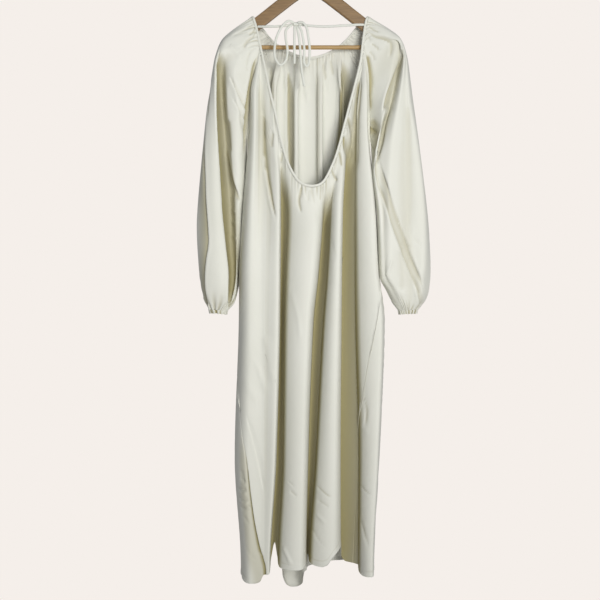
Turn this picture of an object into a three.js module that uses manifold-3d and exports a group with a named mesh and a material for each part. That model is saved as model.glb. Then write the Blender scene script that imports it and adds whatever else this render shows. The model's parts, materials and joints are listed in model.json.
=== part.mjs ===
// Maxi dress with a deep scooped neck, gathered raglan sleeves and a tie across it, on a wooden hanger.
// Millimetres, +Z up. The origin is where a rod would carry the hook; X runs across the dress, to the
// right as the scooped side is seen, and that side faces -Y. The cloth hangs in flutes: tall round folds
// with narrow valleys between them. Front and back are cut from one closed ring of flutes.
import * as THREE from "three";
import { mergeVertices } from "three/addons/utils/BufferGeometryUtils.js";
import Module from "manifold-3d";

// ---------------------------------------------------------------- driving sizes
const CLOTH = 1.2; // wall of the cloth
const SEAM_GAP = 1.5; // between the middles of two cloths that meet at a seam
const BINDING_R = 2.8; // the narrow tube that binds the neck edge
const BINDING_RINGS = 84;
const EDGE_GAP = 1.2; // from the binding to the cloth that hangs from it
const TIE_R = 2.6; // the rouleau tie
const HOOK_WIRE_R = 1.9;
const HOOK_INNER_R = 20;
const ARM_DEPTH = 13;
const FIT = 0.3; // clearance of the bar and the hook in their bores
const BAR_R = 5.3;
const BAR_Z = -224;
const BAR_HALF = 188;
const UNDERARM_Z = -451;
const HEM_Z = -1494;

// ---------------------------------------------------------------- the ring of flutes
// Heights of the measured sections.
const LEVELS = { bust: -387, chest: -638, elbow: -781, waist: -891, knee: -1228, hem: HEM_Z };

// One row for each flute: from the left edge along the front (A1 to D), then back along the rear (E to J).
// neck: where its two sides meet the neck edge, as shares of that edge's length.
// lean: above 1 the crest lies nearer the flute's far side.
// full: the smaller, the flatter its front and the steeper its sides.
// At each level: [from x, to x, crest y, y of the valley after it].
const FLUTES = [
  {
    name: "A1", neck: [0.0, 0.054], lean: 0.9, full: 0.6,
    bust: [-146, -121, -40, -20], chest: [-163, -118, -52, -30], elbow: [-170, -117, -57, -44],
    waist: [-171, -116, -59, -52], knee: [-181, -117, -64, -60], hem: [-166, -118, -66, -62],
  },
  {
    name: "A2", neck: [0.093, 0.335], lean: 1.2, full: 0.6,
    bust: [-108, -75, -44, -16], chest: [-104, -71, -58, -6], elbow: [-108, -72, -63, -6],
    waist: [-110, -73, -66, -6], knee: [-112, -82, -70, -8], hem: [-113, -97, -66, -10],
  },
  {
    name: "B", neck: [0.383, 0.543], lean: 1.2, full: 0.5,
    bust: [-56, 42, -50, -14], chest: [-54, 32, -62, -6], elbow: [-59, 21, -66, -8],
    waist: [-62, 9, -70, -8], knee: [-66, -4, -74, -12], hem: [-78, -9, -78, -14],
  },
  {
    name: "C", neck: [0.581, 0.738], lean: 1.2, full: 0.62,
    bust: [58, 92, -42, -14], chest: [50, 80, -58, 0], elbow: [42, 77, -62, 0],
    waist: [33, 76, -66, 0], knee: [14, 74, -72, 0], hem: [-2, 76, -76, 4],
  },
  {
    name: "D", neck: [0.887, 1.0], lean: 1.15, full: 0.65,
    bust: [113, 140, -38, -6], chest: [110, 160, -50, -6], elbow: [110, 167, -56, -6],
    waist: [111, 180, -60, -6], knee: [119, 167, -66, -6], hem: [118, 154, -66, -6],
  },
  {
    name: "E", neck: [0.0, 0.1], lean: 1, full: 0.65,
    bust: [140, 84, 42, 20], chest: [160, 92, 46, 18], elbow: [167, 95, 52, 18],
    waist: [180, 98, 58, 18], knee: [167, 98, 66, 20], hem: [154, 106, 62, 22],
  },
  {
    name: "F", neck: [0.16, 0.34], lean: 1, full: 0.65,
    bust: [74, 30, 44, 22], chest: [80, 32, 50, 18], elbow: [82, 32, 54, 18],
    waist: [86, 34, 60, 18], knee: [88, 40, 68, 20], hem: [96, 44, 68, 22],
  },
  {
    name: "G", neck: [0.4, 0.6], lean: 1, full: 0.65,
    bust: [20, -30, 46, 20], chest: [20, -28, 52, 18], elbow: [20, -28, 56, 18],
    waist: [22, -28, 60, 18], knee: [28, -18, 70, 20], hem: [34, -8, 70, 24],
  },
  {
    name: "H", neck: [0.66, 0.84], lean: 1, full: 0.65,
    bust: [-38, -84, 44, 22], chest: [-40, -86, 50, 18], elbow: [-40, -86, 54, 18],
    waist: [-40, -88, 60, 18], knee: [-30, -76, 70, 20], hem: [-18, -68, 74, 18],
  },
  {
    name: "J", neck: [0.9, 1.0], lean: 1, full: 0.65,
    bust: [-94, -146, 42, 6], chest: [-98, -163, 46, 6], elbow: [-98, -170, 50, 6],
    waist: [-100, -171, 56, 6], knee: [-92, -181, 62, 6], hem: [-98, -166, 58, 6],
  },
];
const FRONT_COUNT = 5;
const RING = FLUTES.length;
const ARC_SHARE = 0.72; // of each flute's unit of ring position; the rest is the valley after it
const SIDE_BULGE = 3; // of the narrow turn at each side

// The side seams: at each height, where on the ring the front and back are joined. A1 starts at 0, D at 4.
const LEFT_SEAM = {
  z: [-1494, -1440, -1360, -1228, -1108, -1000, -891, UNDERARM_Z],
  at: [1.25, 0.9, 0.5, 0.27, 0.06, -0.1, -0.14, -0.14],
};
const RIGHT_SEAM = {
  z: [-1494, -1228, -1137, -1084, -988, -916, -780, UNDERARM_Z],
  at: [3.92, 3.97, 4.07, 4.15, 4.29, 4.4, 4.72, 4.86],
};

// The hem dips at the flutes and rises in the valleys. Ring position and height.
const HEM = {
  at: [
    -0.14, 0.0, 0.36, 0.72, 1.0, 1.5, 1.72, 1.86, 2.0, 2.2, 2.4, 2.6, 2.86, 3.1, 3.4, 3.62, 3.72, 3.86,
    4.0, 4.12, 4.36, 4.6, 4.86, 5.36, 5.86, 6.36, 6.86, 7.36, 7.86, 8.1, 8.36, 8.62, 8.86, 9.1, 9.5, 9.86,
  ],
  z: [
    -1512, -1516, -1523, -1514, -1504, -1500, -1480, -1432, -1468, -1488, -1489, -1480, -1462, -1477, -1481,
    -1470, -1454, -1442, -1470, -1500, -1508, -1506, -1504, -1500, -1496, -1499, -1496, -1505, -1512, -1548,
    -1562, -1530, -1436, -1490, -1515, -1512,
  ],
};

// ---------------------------------------------------------------- the neck edge
// One closed loop: the scoop, the right shoulder, the shallow back neck, the left shoulder.
const LEFT_CORNER = [-120, -20, -230];
const RIGHT_CORNER = [128, -19, -222];
const RIGHT_BACK_CORNER = [88, 27, -203];
const LEFT_BACK_CORNER = [-92, 27, -204];
const SCOOP = [
  [-111, -24, -272], [-98, -31, -334], [-82, -37, -400], [-70, -41, -458],
  [-49, -47, -522], [-25, -51, -558], [3, -53, -568], [28, -52, -561],
  [54, -47, -516], [70, -42, -470], [83, -37, -420], [96, -32, -370],
  [112, -27, -309], [123, -23, -262],
];
const RIGHT_SHOULDER = [
  [132, -15, -190], [135.5, -10.5, -168], [139.2, -9, -154.6], [141, 0, -150],
  [138.2, 8.6, -151.6], [131, 11.2, -158], [116, 18, -172],
];
const BACK_NECK = [[52, 30, -229], [0, 31, -244], [-50, 30, -231]];
const LEFT_SHOULDER = [
  [-118, 18, -174], [-130, 11.2, -158], [-137.2, 8.6, -151.6], [-140, 0, -150],
  [-138.2, -9, -154.6], [-134, -10.5, -168], [-128, -15, -192],
];
const NECK_POINTS = [
  LEFT_CORNER, ...SCOOP, RIGHT_CORNER, ...RIGHT_SHOULDER,
  RIGHT_BACK_CORNER, ...BACK_NECK, LEFT_BACK_CORNER, ...LEFT_SHOULDER,
];
const neckIndex = (point) => NECK_POINTS.indexOf(point);

// ---------------------------------------------------------------- raglan seams, neck corner to underarm
const LEFT_UNDERARM = [-154, 0, UNDERARM_Z];
const RIGHT_UNDERARM = [147, 0, UNDERARM_Z];
const RAGLANS = {
  leftFront: [LEFT_CORNER, [-135, -15, -290], [-146, -8, -360], LEFT_UNDERARM],
  rightFront: [RIGHT_CORNER, [141, -15, -285], [145, -8, -360], RIGHT_UNDERARM],
  leftBack: [LEFT_BACK_CORNER, [-122, 27, -270], [-144, 18, -360], LEFT_UNDERARM],
  rightBack: [RIGHT_BACK_CORNER, [118, 27, -270], [139, 18, -360], RIGHT_UNDERARM],
};

// ---------------------------------------------------------------- sleeves
// Tilted sections from the neck to the cuff, for the right sleeve, and for the left one mirrored.
// inner, outer: the section's ends as [x, z]. front, back: its depth towards the front and the back.
// lead: how far back its inner end lies, because the right sleeve hangs before the body's side and the
// left one behind it.
const RIGHT_SLEEVE = [
  { name: "neck", inner: [128, -330], outer: [142, -150], front: 22, back: 22, lead: 0 },
  { name: "arm", inner: [140, -370], outer: [192, -178], front: 32, back: 28, lead: 0 },
  { name: "cap", inner: [146, -410], outer: [221, -202], front: 38, back: 32, lead: 0 },
  { name: "tip", inner: [150, -451], outer: [236, -240], front: 40, back: 34, lead: -10 },
  { name: "upper", inner: [151.5, -537], outer: [252, -353], front: 42, back: 36, lead: -24 },
  { name: "middle", inner: [163, -636], outer: [272, -500], front: 42, back: 38, lead: -24 },
  { name: "full", inner: [166.5, -732], outer: [291, -672], front: 42, back: 40, lead: -24 },
  { name: "fall", inner: [168.5, -782], outer: [295, -764], front: 42, back: 40, lead: -20 },
  { name: "turn", inner: [186, -819], outer: [291, -818], front: 38, back: 36, lead: -8 },
  { name: "gather", inner: [203, -850], outer: [279, -850], front: 28, back: 26, lead: 0 },
  { name: "cuff", inner: [217, -868], outer: [263, -866], front: 17, back: 17, lead: 0 },
];
const LEFT_SLEEVE = [
  { name: "neck", inner: [120, -330], outer: [141, -150], front: 22, back: 22, lead: 0 },
  { name: "arm", inner: [142, -370], outer: [190, -182], front: 32, back: 28, lead: 0 },
  { name: "cap", inner: [150, -410], outer: [217, -208], front: 38, back: 32, lead: 0 },
  { name: "tip", inner: [156, -451], outer: [232, -248], front: 40, back: 34, lead: 8 },
  { name: "upper", inner: [155, -537], outer: [248, -353], front: 42, back: 36, lead: 26 },
  { name: "middle", inner: [164.6, -636], outer: [265, -500], front: 42, back: 38, lead: 24 },
  { name: "full", inner: [168.5, -722], outer: [277, -662], front: 42, back: 38, lead: 24 },
  { name: "fall", inner: [172, -783], outer: [273, -750], front: 40, back: 38, lead: 20 },
  { name: "turn", inner: [179, -826], outer: [267, -811], front: 34, back: 34, lead: 8 },
  { name: "gather", inner: [186, -850], outer: [258, -847], front: 26, back: 26, lead: 0 },
  { name: "cuff", inner: [203, -868], outer: [247, -865], front: 16, back: 17, lead: 0 },
];
// The long folds on a sleeve's front, each a line that runs down it through FOLD_SECTIONS.
// at: place across it, -1 at the inner edge and 1 at the outer one.
// y: how far it stands forward, as a share of the section's front depth.
const FOLD_SECTIONS = ["arm", "cap", "tip", "upper", "middle", "full", "fall", "turn", "cuff"];
const LEFT_FOLDS = [
  {
    name: "inner flute",
    at: [-0.5, -0.5, -0.61, -0.74, -0.88, -0.93, -0.94, -0.94, -0.9],
    y: [0.9, 0.9, 0.88, 0.85, 0.7, 0.5, 0.4, 0.4, 0.5],
  },
  {
    name: "rise",
    at: [0, 0.1, 0.1, -0.22, -0.63, -0.77, -0.82, -0.86, -0.7],
    y: [1, 0.9, 0.78, 0.75, 0.7, 0.6, 0.5, 0.5, 0.75],
  },
  {
    name: "valley",
    at: [0.3, 0.5, 0.56, 0.15, -0.35, -0.52, -0.64, -0.7, -0.5],
    y: [0.9, 0.75, 0.35, 0.1, 0.1, 0.15, 0.2, 0.3, 0.85],
  },
  {
    name: "lip",
    at: [0.55, 0.72, 0.8, 0.53, 0.17, -0.24, -0.41, -0.48, -0.3],
    y: [0.85, 0.9, 1, 1, 1, 1, 1, 1, 1],
  },
  {
    name: "strip",
    at: [0.85, 0.9, 0.94, 0.93, 0.86, 0.55, 0.6, 0.66, 0.7],
    y: [0.6, 0.6, 0.65, 0.7, 0.75, 0.85, 0.85, 0.85, 0.75],
  },
];
const RIGHT_FOLDS = [
  {
    name: "inner edge",
    at: [-0.5, -0.5, -0.4, -0.93, -0.92, -0.93, -0.93, -0.9, -0.85],
    y: [0.9, 0.95, 1, 0.55, 0.5, 0.5, 0.5, 0.5, 0.5],
  },
  {
    name: "valley",
    at: [0.6, 0.76, 0.35, -0.8, -0.75, -0.8, -0.8, -0.72, -0.6],
    y: [0.8, 0.6, 0.4, 0.45, 0.62, 0.7, 0.72, 0.75, 0.8],
  },
  {
    name: "crest",
    at: [0.75, 0.86, 0.75, -0.1, -0.46, -0.52, -0.6, -0.5, -0.3],
    y: [0.8, 0.8, 0.95, 1, 1, 1, 1, 1, 1],
  },
  {
    name: "hollow",
    at: [0.85, 0.92, 0.86, 0.55, 0.24, 0.15, 0.24, 0.1, 0.1],
    y: [0.7, 0.75, 0.8, 0.86, 0.82, 0.84, 0.84, 0.85, 0.95],
  },
  {
    name: "outer flute",
    at: [0.93, 0.96, 0.94, 0.85, 0.87, 0.78, 0.7, 0.6, 0.7],
    y: [0.5, 0.55, 0.6, 0.75, 0.7, 0.8, 0.85, 0.85, 0.8],
  },
];
const CUFF_DROP = 9;
const CUFF_WALL = 2.4;
const CUFF_GAP = 0.5; // from the sleeve's end down to it

// ---------------------------------------------------------------- small maths
const V = (p) => new THREE.Vector3(p[0], p[1], p[2]);
const lerp = (a, b, t) => a + (b - a) * t;
const clamp = (x, low, high) => Math.min(high, Math.max(low, x));
const smooth = (t) => {
  const c = clamp(t, 0, 1);
  return c * c * (3 - 2 * c);
};

// A smooth curve through (xs, ys) that never overshoots them; xs rise.
function through(xs, ys, x) {
  const last = xs.length - 1;
  if (x <= xs[0]) return ys[0];
  if (x >= xs[last]) return ys[last];
  let i = 0;
  while (x > xs[i + 1]) i++;
  const slope = (k) => (ys[k + 1] - ys[k]) / (xs[k + 1] - xs[k]);
  const tangent = (k) => {
    if (k === 0 || k === last) return 0;
    const [a, b] = [slope(k - 1), slope(k)];
    return a * b <= 0 ? 0 : (2 * a * b) / (a + b);
  };
  const h = xs[i + 1] - xs[i];
  const t = (x - xs[i]) / h;
  const [m0, m1] = [tangent(i) * h, tangent(i + 1) * h];
  return (2 * t ** 3 - 3 * t ** 2 + 1) * ys[i] + (t ** 3 - 2 * t ** 2 + t) * m0
    + (3 * t ** 2 - 2 * t ** 3) * ys[i + 1] + (t ** 3 - t ** 2) * m1;
}

// ---------------------------------------------------------------- the body's surface
const LEVEL_NAMES = Object.keys(LEVELS).reverse();
const LEVEL_Z = LEVEL_NAMES.map((name) => LEVELS[name]);
const at = (flute, column, z) => through(LEVEL_Z, LEVEL_NAMES.map((name) => flute[name][column]), z);

// The ring's point at ring position v and height z, as [x, y].
function ringPoint(v, z) {
  const wrapped = ((v % RING) + RING) % RING;
  const i = Math.floor(wrapped);
  const share = wrapped - i;
  const flute = FLUTES[i];
  const before = FLUTES[(i + RING - 1) % RING];
  const after = FLUTES[(i + 1) % RING];
  const [x0, x1, crest, floor] = [0, 1, 2, 3].map((column) => at(flute, column, z));
  const firstOfSide = i === 0 || i === FRONT_COUNT; // the valley before it belongs to the other side
  const floorBefore = at(before, 3, z) * (firstOfSide ? -1 : 1);
  if (share <= ARC_SHARE) {
    const s = share / ARC_SHARE;
    const across = Math.cos(Math.PI * s);
    const rise = Math.sin(Math.PI * s ** flute.lean);
    const base = lerp(floorBefore, floor, smooth(s));
    return [
      (x0 + x1) / 2 - ((x1 - x0) / 2) * Math.sign(across) * Math.abs(across) ** flute.full,
      base + (crest - base) * Math.max(0, rise) ** flute.full,
    ];
  }
  const s = (share - ARC_SHARE) / (1 - ARC_SHARE);
  const next = at(after, 0, z);
  if (i === FRONT_COUNT - 1 || i === RING - 1) {
    return [lerp(x1, next, s) + Math.sign(x1) * SIDE_BULGE * Math.sin(Math.PI * s), lerp(floor, -floor, s)];
  }
  const depth = (i < FRONT_COUNT ? 1 : -1) * Math.min(6, Math.abs(next - x1) * 0.3);
  return [lerp(x1, next, s), floor + depth * Math.sin(Math.PI * s)];
}

const seamAt = (seam, z) => through(seam.z, seam.at, z);
const hemAt = (v) => {
  const wrapped = ((v + 0.14) % RING + RING) % RING - 0.14;
  return through(HEM.at, HEM.z, wrapped);
};

// ---------------------------------------------------------------- edges that pieces share
const neckLoop = new THREE.CatmullRomCurve3(NECK_POINTS.map(V), true, "centripetal");
const neckPoint = (index) => neckLoop.getPoint((((index / NECK_POINTS.length) % 1) + 1) % 1);

// A stretch of the neck edge from one point's index to another's, by share of its length.
function neckStretch(from, to) {
  const steps = 160;
  const points = Array.from({ length: steps + 1 }, (_, k) => neckPoint(lerp(from, to, k / steps)));
  const lengths = [0];
  for (let k = 1; k <= steps; k++) lengths.push(lengths[k - 1] + points[k].distanceTo(points[k - 1]));
  return (share) => {
    const goal = clamp(share, 0, 1) * lengths[steps];
    let k = 1;
    while (k < steps && lengths[k] < goal) k++;
    const t = (goal - lengths[k - 1]) / (lengths[k] - lengths[k - 1]);
    return lerp(from, to, (k - 1 + t) / steps);
  };
}

// The cloth's edge under the binding: the neck edge moved away from the opening's middle.
const OPENING_MIDDLE_Z = -175;
function underBinding(index) {
  const here = neckPoint(index);
  const along = neckPoint(index + 0.02).sub(neckPoint(index - 0.02)).normalize();
  const away = new THREE.Vector3(here.x, 0, here.z - OPENING_MIDDLE_Z);
  away.addScaledVector(along, -away.dot(along)).normalize();
  return here.addScaledVector(away, BINDING_R + EDGE_GAP);
}
const curveThrough = (points) => new THREE.CatmullRomCurve3(points.map(V), false, "centripetal");
const raglan = Object.fromEntries(
  Object.entries(RAGLANS).map(([name, points]) => [name, curveThrough(points)]),
);

// The raglan seam's point at a share of the way from the neck, moved off the seam's middle by half its gap,
// towards the body (-1) or the sleeve (1). Its neck end starts below the binding.
function raglanEdge(name, share, towards) {
  const point = raglan[name].getPoint(clamp(share, 0, 1));
  const corner = underBinding(neckIndex(RAGLANS[name][0]));
  const start = corner.sub(raglan[name].getPoint(0)).multiplyScalar((1 - share) ** 3);
  const outward = Math.sign(RAGLANS[name][0][0]);
  return point.add(start).add(new THREE.Vector3((outward * towards * SEAM_GAP) / 2, 0, 0));
}

// ---------------------------------------------------------------- solids from surfaces
function meshOf(name, positions, triangles, material) {
  let volume = 0;
  const p = (i) => new THREE.Vector3(...positions[i]);
  for (const [a, b, c] of triangles) volume += p(a).dot(p(b).cross(p(c)));
  const facing = volume < 0 ? triangles.map(([a, b, c]) => [a, c, b]) : triangles;
  const geometry = new THREE.BufferGeometry();
  geometry.setAttribute("position", new THREE.Float32BufferAttribute(positions.flat(), 3));
  geometry.setIndex(facing.flat());
  geometry.computeVertexNormals();
  const mesh = new THREE.Mesh(geometry, material);
  mesh.name = name;
  return mesh;
}

// A geometry as a solid that can be cut, and a cut solid as a mesh.
function solidOf(wasm, geometry) {
  const open = geometry.index ? geometry.toNonIndexed() : geometry;
  const bare = new THREE.BufferGeometry().setAttribute("position", open.getAttribute("position"));
  const merged = mergeVertices(bare, 1e-3);
  const vertProperties = merged.attributes.position.array;
  const triVerts = new Uint32Array(merged.index.array);
  return new wasm.Manifold(new wasm.Mesh({ numProp: 3, vertProperties, triVerts }));
}

function meshFrom(solid, name, material) {
  const cut = solid.getMesh();
  const positions = [];
  for (let i = 0; i < cut.numVert; i++) {
    positions.push(...cut.vertProperties.subarray(i * cut.numProp, i * cut.numProp + 3));
  }
  const geometry = new THREE.BufferGeometry();
  geometry.setAttribute("position", new THREE.Float32BufferAttribute(positions, 3));
  geometry.setIndex([...cut.triVerts]);
  geometry.computeVertexNormals();
  const mesh = new THREE.Mesh(geometry, material);
  mesh.name = name;
  return mesh;
}

// The normals of a grid of points, grid[row][column]; round closes each row on itself.
function normalsOf(grid, round) {
  const columns = grid[0].length;
  const wrap = (j) => (round ? (j + columns) % columns : clamp(j, 0, columns - 1));
  const row = (i) => grid[clamp(i, 0, grid.length - 1)];
  return grid.map((points, i) => points.map((_, j) => {
    const across = points[wrap(j + 1)].clone().sub(points[wrap(j - 1)]);
    return across.cross(row(i + 1)[j].clone().sub(row(i - 1)[j])).normalize();
  }));
}

// The triangles of the strip between two rows, each a list of places, by their order along the ring.
function stripBetween(above, below) {
  const triangles = [];
  let [i, j] = [0, 0];
  while (i < above.length - 1 || j < below.length - 1) {
    const alongAbove = j === below.length - 1 || (i < above.length - 1 && above[i + 1].v <= below[j + 1].v);
    const tip = alongAbove ? above[i + 1].id : below[j + 1].id;
    triangles.push([above[i].id, tip, below[j].id]);
    if (alongAbove) i++;
    else j++;
  }
  return triangles;
}

// A wall of cloth on rows of places, each with its v, point and normal; rows may differ in length.
function clothRows(name, rows, material, { wall = CLOTH } = {}) {
  const places = [];
  const numbered = rows.map((row) => row.map((place) => ({ ...place, id: places.push(place) - 1 })));
  const count = places.length;
  const positions = [-0.5, 0.5].flatMap((side) => places.map(({ point, normal }) => (
    point.clone().addScaledVector(normal, side * wall).toArray())));
  const triangles = [];
  for (let i = 0; i < rows.length - 1; i++) {
    for (const [a, b, c] of stripBetween(numbered[i], numbered[i + 1])) {
      triangles.push([a + count, b + count, c + count], [a, c, b]);
    }
  }
  const rim = [
    ...numbered[0].map(({ id }) => id),
    ...numbered.slice(1).map((row) => row.at(-1).id),
    ...numbered.at(-1).slice(0, -1).reverse().map(({ id }) => id),
    ...numbered.slice(1, -1).reverse().map((row) => row[0].id),
  ];
  rim.forEach((a, k) => {
    const b = rim[(k + 1) % rim.length];
    triangles.push([a, b, b + count], [a, b + count, a + count]);
  });
  return meshOf(name, positions, triangles, material);
}

// A wall of cloth on a grid of points that closes round on itself. Each cell is split along its shorter
// diagonal, the same one on both sides of the wall.
function clothTube(name, grid, material, { wall = CLOTH } = {}) {
  const normals = normalsOf(grid, true);
  const [rows, columns] = [grid.length, grid[0].length];
  const positions = [0.5, -0.5].flatMap((side) => grid.flatMap((points, i) => (
    points.map((point, j) => point.clone().addScaledVector(normals[i][j], side * wall).toArray()))));
  const inner = rows * columns;
  const index = (i, j) => i * columns + (j % columns);
  const span = (i, j, k, l) => grid[i][j % columns].distanceTo(grid[k][l % columns]);
  const triangles = [];
  for (let j = 0; j < columns; j++) {
    for (let i = 0; i < rows - 1; i++) {
      const [a, b, c, d] = [index(i, j), index(i, j + 1), index(i + 1, j + 1), index(i + 1, j)];
      const falling = span(i, j, i + 1, j + 1) <= span(i, j + 1, i + 1, j);
      const cell = falling ? [[a, b, c], [a, c, d]] : [[a, b, d], [b, c, d]];
      triangles.push(...cell, ...cell.map(([p, q, r]) => [p + inner, r + inner, q + inner]));
    }
    const [top, topNext] = [index(0, j), index(0, j + 1)];
    const [end, endNext] = [index(rows - 1, j), index(rows - 1, j + 1)];
    triangles.push([top + inner, topNext + inner, topNext], [top + inner, topNext, top]);
    triangles.push([end, endNext, endNext + inner], [end, endNext + inner, end + inner]);
  }
  return meshOf(name, positions, triangles, material);
}

// A round section with flat sides, swept along a smooth curve through the points, with closed ends.
function sweep(name, points, radius, material, { steps, sides = 8 }) {
  const extrudePath = curveThrough(points);
  const corners = Array.from({ length: sides }, (_, k) => {
    const angle = (2 * Math.PI * (k + 0.5)) / sides;
    return new THREE.Vector2(radius * Math.cos(angle), radius * Math.sin(angle));
  });
  const geometry = new THREE.ExtrudeGeometry(new THREE.Shape(corners), { steps, extrudePath });
  const mesh = new THREE.Mesh(geometry, material);
  mesh.name = name;
  return mesh;
}

// ---------------------------------------------------------------- materials
const IVORY = new THREE.MeshStandardMaterial({ color: 0xe9e6da, roughness: 0.62, metalness: 0 });
const TIE_IVORY = new THREE.MeshStandardMaterial({ color: 0xebe8dc, roughness: 0.58, metalness: 0 });
const WOOD = new THREE.MeshStandardMaterial({ color: 0xb08a5a, roughness: 0.5, metalness: 0 });
const STEEL = new THREE.MeshStandardMaterial({ color: 0xb9bcc0, roughness: 0.28, metalness: 1 });

// ---------------------------------------------------------------- front and back
// Rows: shares of the way from the upper edge to LEVEL_FROM, then heights, then the hem.
const UPPER_ROWS = [0, 0.1, 0.24, 0.42, 0.62, 0.82];
const LEVEL_FROM = -640;
const LEVEL_ROWS = [LEVEL_FROM, -710, -785, -840, -895, -955, -1030, -1110, -1200, -1300, -1410];
const SAMPLES = [0, 0.08, 0.24, 0.44, 0.62, 0.72, 0.86]; // of a front flute's unit of ring position
// Under the scoop.
const SCOOP_SAMPLES = [0, 0.07, 0.15, 0.22, 0.29, 0.36, 0.43, 0.5, 0.57, 0.64, 0.72, 0.8, 0.9];
const BACK_SAMPLES = [0, 0.1, 0.3, 0.5, 0.64, 0.72, 0.86];
const RAGLAN_STEPS = 3;
const SETTLE = 110; // how far below its edge the cloth has taken up its flutes
const SEAM_CUT = 1; // between the front and the back at the side seams
const SEAM_CLEAR = 0.02; // a column nearer to a side seam than this, in ring position, gives way to it

// The front and the back: ring positions of the underarms and of the neck corners.
const FRONT = {
  flutes: [0, 1, 2, 3, 4],
  samples: [SAMPLES, SAMPLES, SCOOP_SAMPLES, SAMPLES, SAMPLES],
  low: -0.14, lowCorner: 0.15, highCorner: 4.5, high: 4.86,
  lowRaglan: "leftFront", highRaglan: "rightFront",
};
const BACK = {
  flutes: [5, 6, 7, 8, 9],
  samples: Array(5).fill(BACK_SAMPLES),
  low: 4.86, lowCorner: 5.2, highCorner: 9.45, high: 9.86,
  lowRaglan: "rightBack", highRaglan: "leftBack",
};
const CORNER_CLEAR = 0.06; // the least ring position from a neck corner to the next column

// Ring positions of a side's columns: the raglan seams' samples, and each flute's between them.
function columnsOf(side) {
  const steps = Array.from({ length: RAGLAN_STEPS + 1 }, (_, k) => k / RAGLAN_STEPS);
  const low = steps.map((t) => lerp(side.low, side.lowCorner, t));
  const high = steps.slice(0, -1).map((t) => lerp(side.highCorner, side.high, t));
  const middle = side.flutes.flatMap((i, k) => side.samples[k].map((s) => i + s));
  const inside = (v) => v > side.lowCorner + CORNER_CLEAR && v < side.highCorner - CORNER_CLEAR;
  return [...low, ...middle.filter(inside), ...high];
}

// Heights of a column's rows.
function rowHeights(edge, v) {
  const top = edge(v).z;
  return [...UPPER_ROWS.map((t) => lerp(top, LEVEL_FROM, t)), ...LEVEL_ROWS, hemAt(v)];
}

// The cloth's point at ring position v and height z.
function bodyPoint(edge, v, z) {
  const top = edge(v);
  const [x, y] = ringPoint(v, z);
  return top.clone().setZ(z).lerp(new THREE.Vector3(x, y, z), smooth((top.z - z) / SETTLE));
}

// The whole body, front and back in one: a column for each place, with its points and the cloth's normals.
function bodyColumns() {
  const columns = [FRONT, BACK].flatMap((side) => {
    const edge = panelEdge(side);
    const column = (v) => rowHeights(edge, v).map((z) => bodyPoint(edge, v, z));
    return columnsOf(side).map((v) => ({ v, points: column(v) }));
  });
  const normals = normalsOf(columns[0].points.map((_, i) => columns.map(({ points }) => points[i])), true);
  return columns.map((column, j) => ({ ...column, normals: normals.map((row) => row[j]) }));
}

// A side's row i: its columns between the two side seams, and a point by each seam, in by half the gap.
function panelRow(columns, seams, i) {
  const [low, high] = seams.map(({ seam, turn }) => {
    const z = columns[0].points[i].z;
    return seamAt(seam, Math.min(z, UNDERARM_Z)) + turn;
  });
  const turned = [-RING, 0, RING].flatMap((turn) => columns.map((column) => ({
    v: column.v + turn, point: column.points[i], normal: column.normals[i],
  })));
  const seamPoint = (v, inward) => {
    const next = turned.findIndex((place) => place.v > v + 1e-9);
    const [a, b] = [turned[next - 1], turned[next]];
    const t = (v - a.v) / (b.v - a.v);
    const along = b.point.clone().sub(a.point).normalize();
    return {
      v,
      point: a.point.clone().lerp(b.point, t).addScaledVector(along, (inward * SEAM_CUT) / 2),
      normal: a.normal.clone().lerp(b.normal, t).normalize(),
    };
  };
  const between = turned.filter(({ v }) => v > low + SEAM_CLEAR && v < high - SEAM_CLEAR);
  return [seamPoint(low, 1), ...between, seamPoint(high, -1)];
}

function panels() {
  const columns = bodyColumns();
  const rowsOf = (seams) => columns[0].points.map((_, i) => panelRow(columns, seams, i));
  const [left, right] = [LEFT_SEAM, RIGHT_SEAM];
  return [
    clothRows("front_panel", rowsOf([{ seam: left, turn: 0 }, { seam: right, turn: 0 }]), IVORY),
    clothRows("back_panel", rowsOf([{ seam: right, turn: 0 }, { seam: left, turn: RING }]), IVORY),
  ];
}

// Where ring position v meets the neck edge, as a share of its own stretch of it.
function neckShare(side, v) {
  const [places, shares] = [[side.lowCorner], [0]];
  for (const i of side.flutes) {
    [[i, 0], [i + ARC_SHARE, 1]].forEach(([place, k]) => {
      if (place > side.lowCorner && place < side.highCorner) {
        places.push(place);
        shares.push(FLUTES[i].neck[k]);
      }
    });
  }
  return through([...places, side.highCorner], [...shares, 1], v);
}

const CORNER = {
  leftFront: neckIndex(LEFT_CORNER), rightFront: neckIndex(RIGHT_CORNER),
  rightBack: neckIndex(RIGHT_BACK_CORNER), leftBack: neckIndex(LEFT_BACK_CORNER),
};

function panelEdge(side) {
  const stretch = neckStretch(CORNER[side.lowRaglan], CORNER[side.highRaglan]);
  return (v) => {
    if (v <= side.lowCorner) {
      return raglanEdge(side.lowRaglan, (side.lowCorner - v) / (side.lowCorner - side.low), -1);
    }
    if (v >= side.highCorner) {
      return raglanEdge(side.highRaglan, (v - side.highCorner) / (side.high - side.highCorner), -1);
    }
    return underBinding(stretch(neckShare(side, v)));
  };
}

// ---------------------------------------------------------------- sleeves
const SLEEVE_NEAR_CORNER = 1; // place round the sleeve, 0 at the underarm, 1 front, 2 outer edge, 3 back
const SLEEVE_BACK_CORNER = 3;
const TIP_SECTION = 3; // the section whose inner end is the underarm
// How far q has gone down the front or the back raglan seam, from the neck to the underarm.
const nearShare = (q) => 1 - q / SLEEVE_NEAR_CORNER;
const farShare = (q) => (q - SLEEVE_BACK_CORNER) / (4 - SLEEVE_BACK_CORNER);

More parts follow.
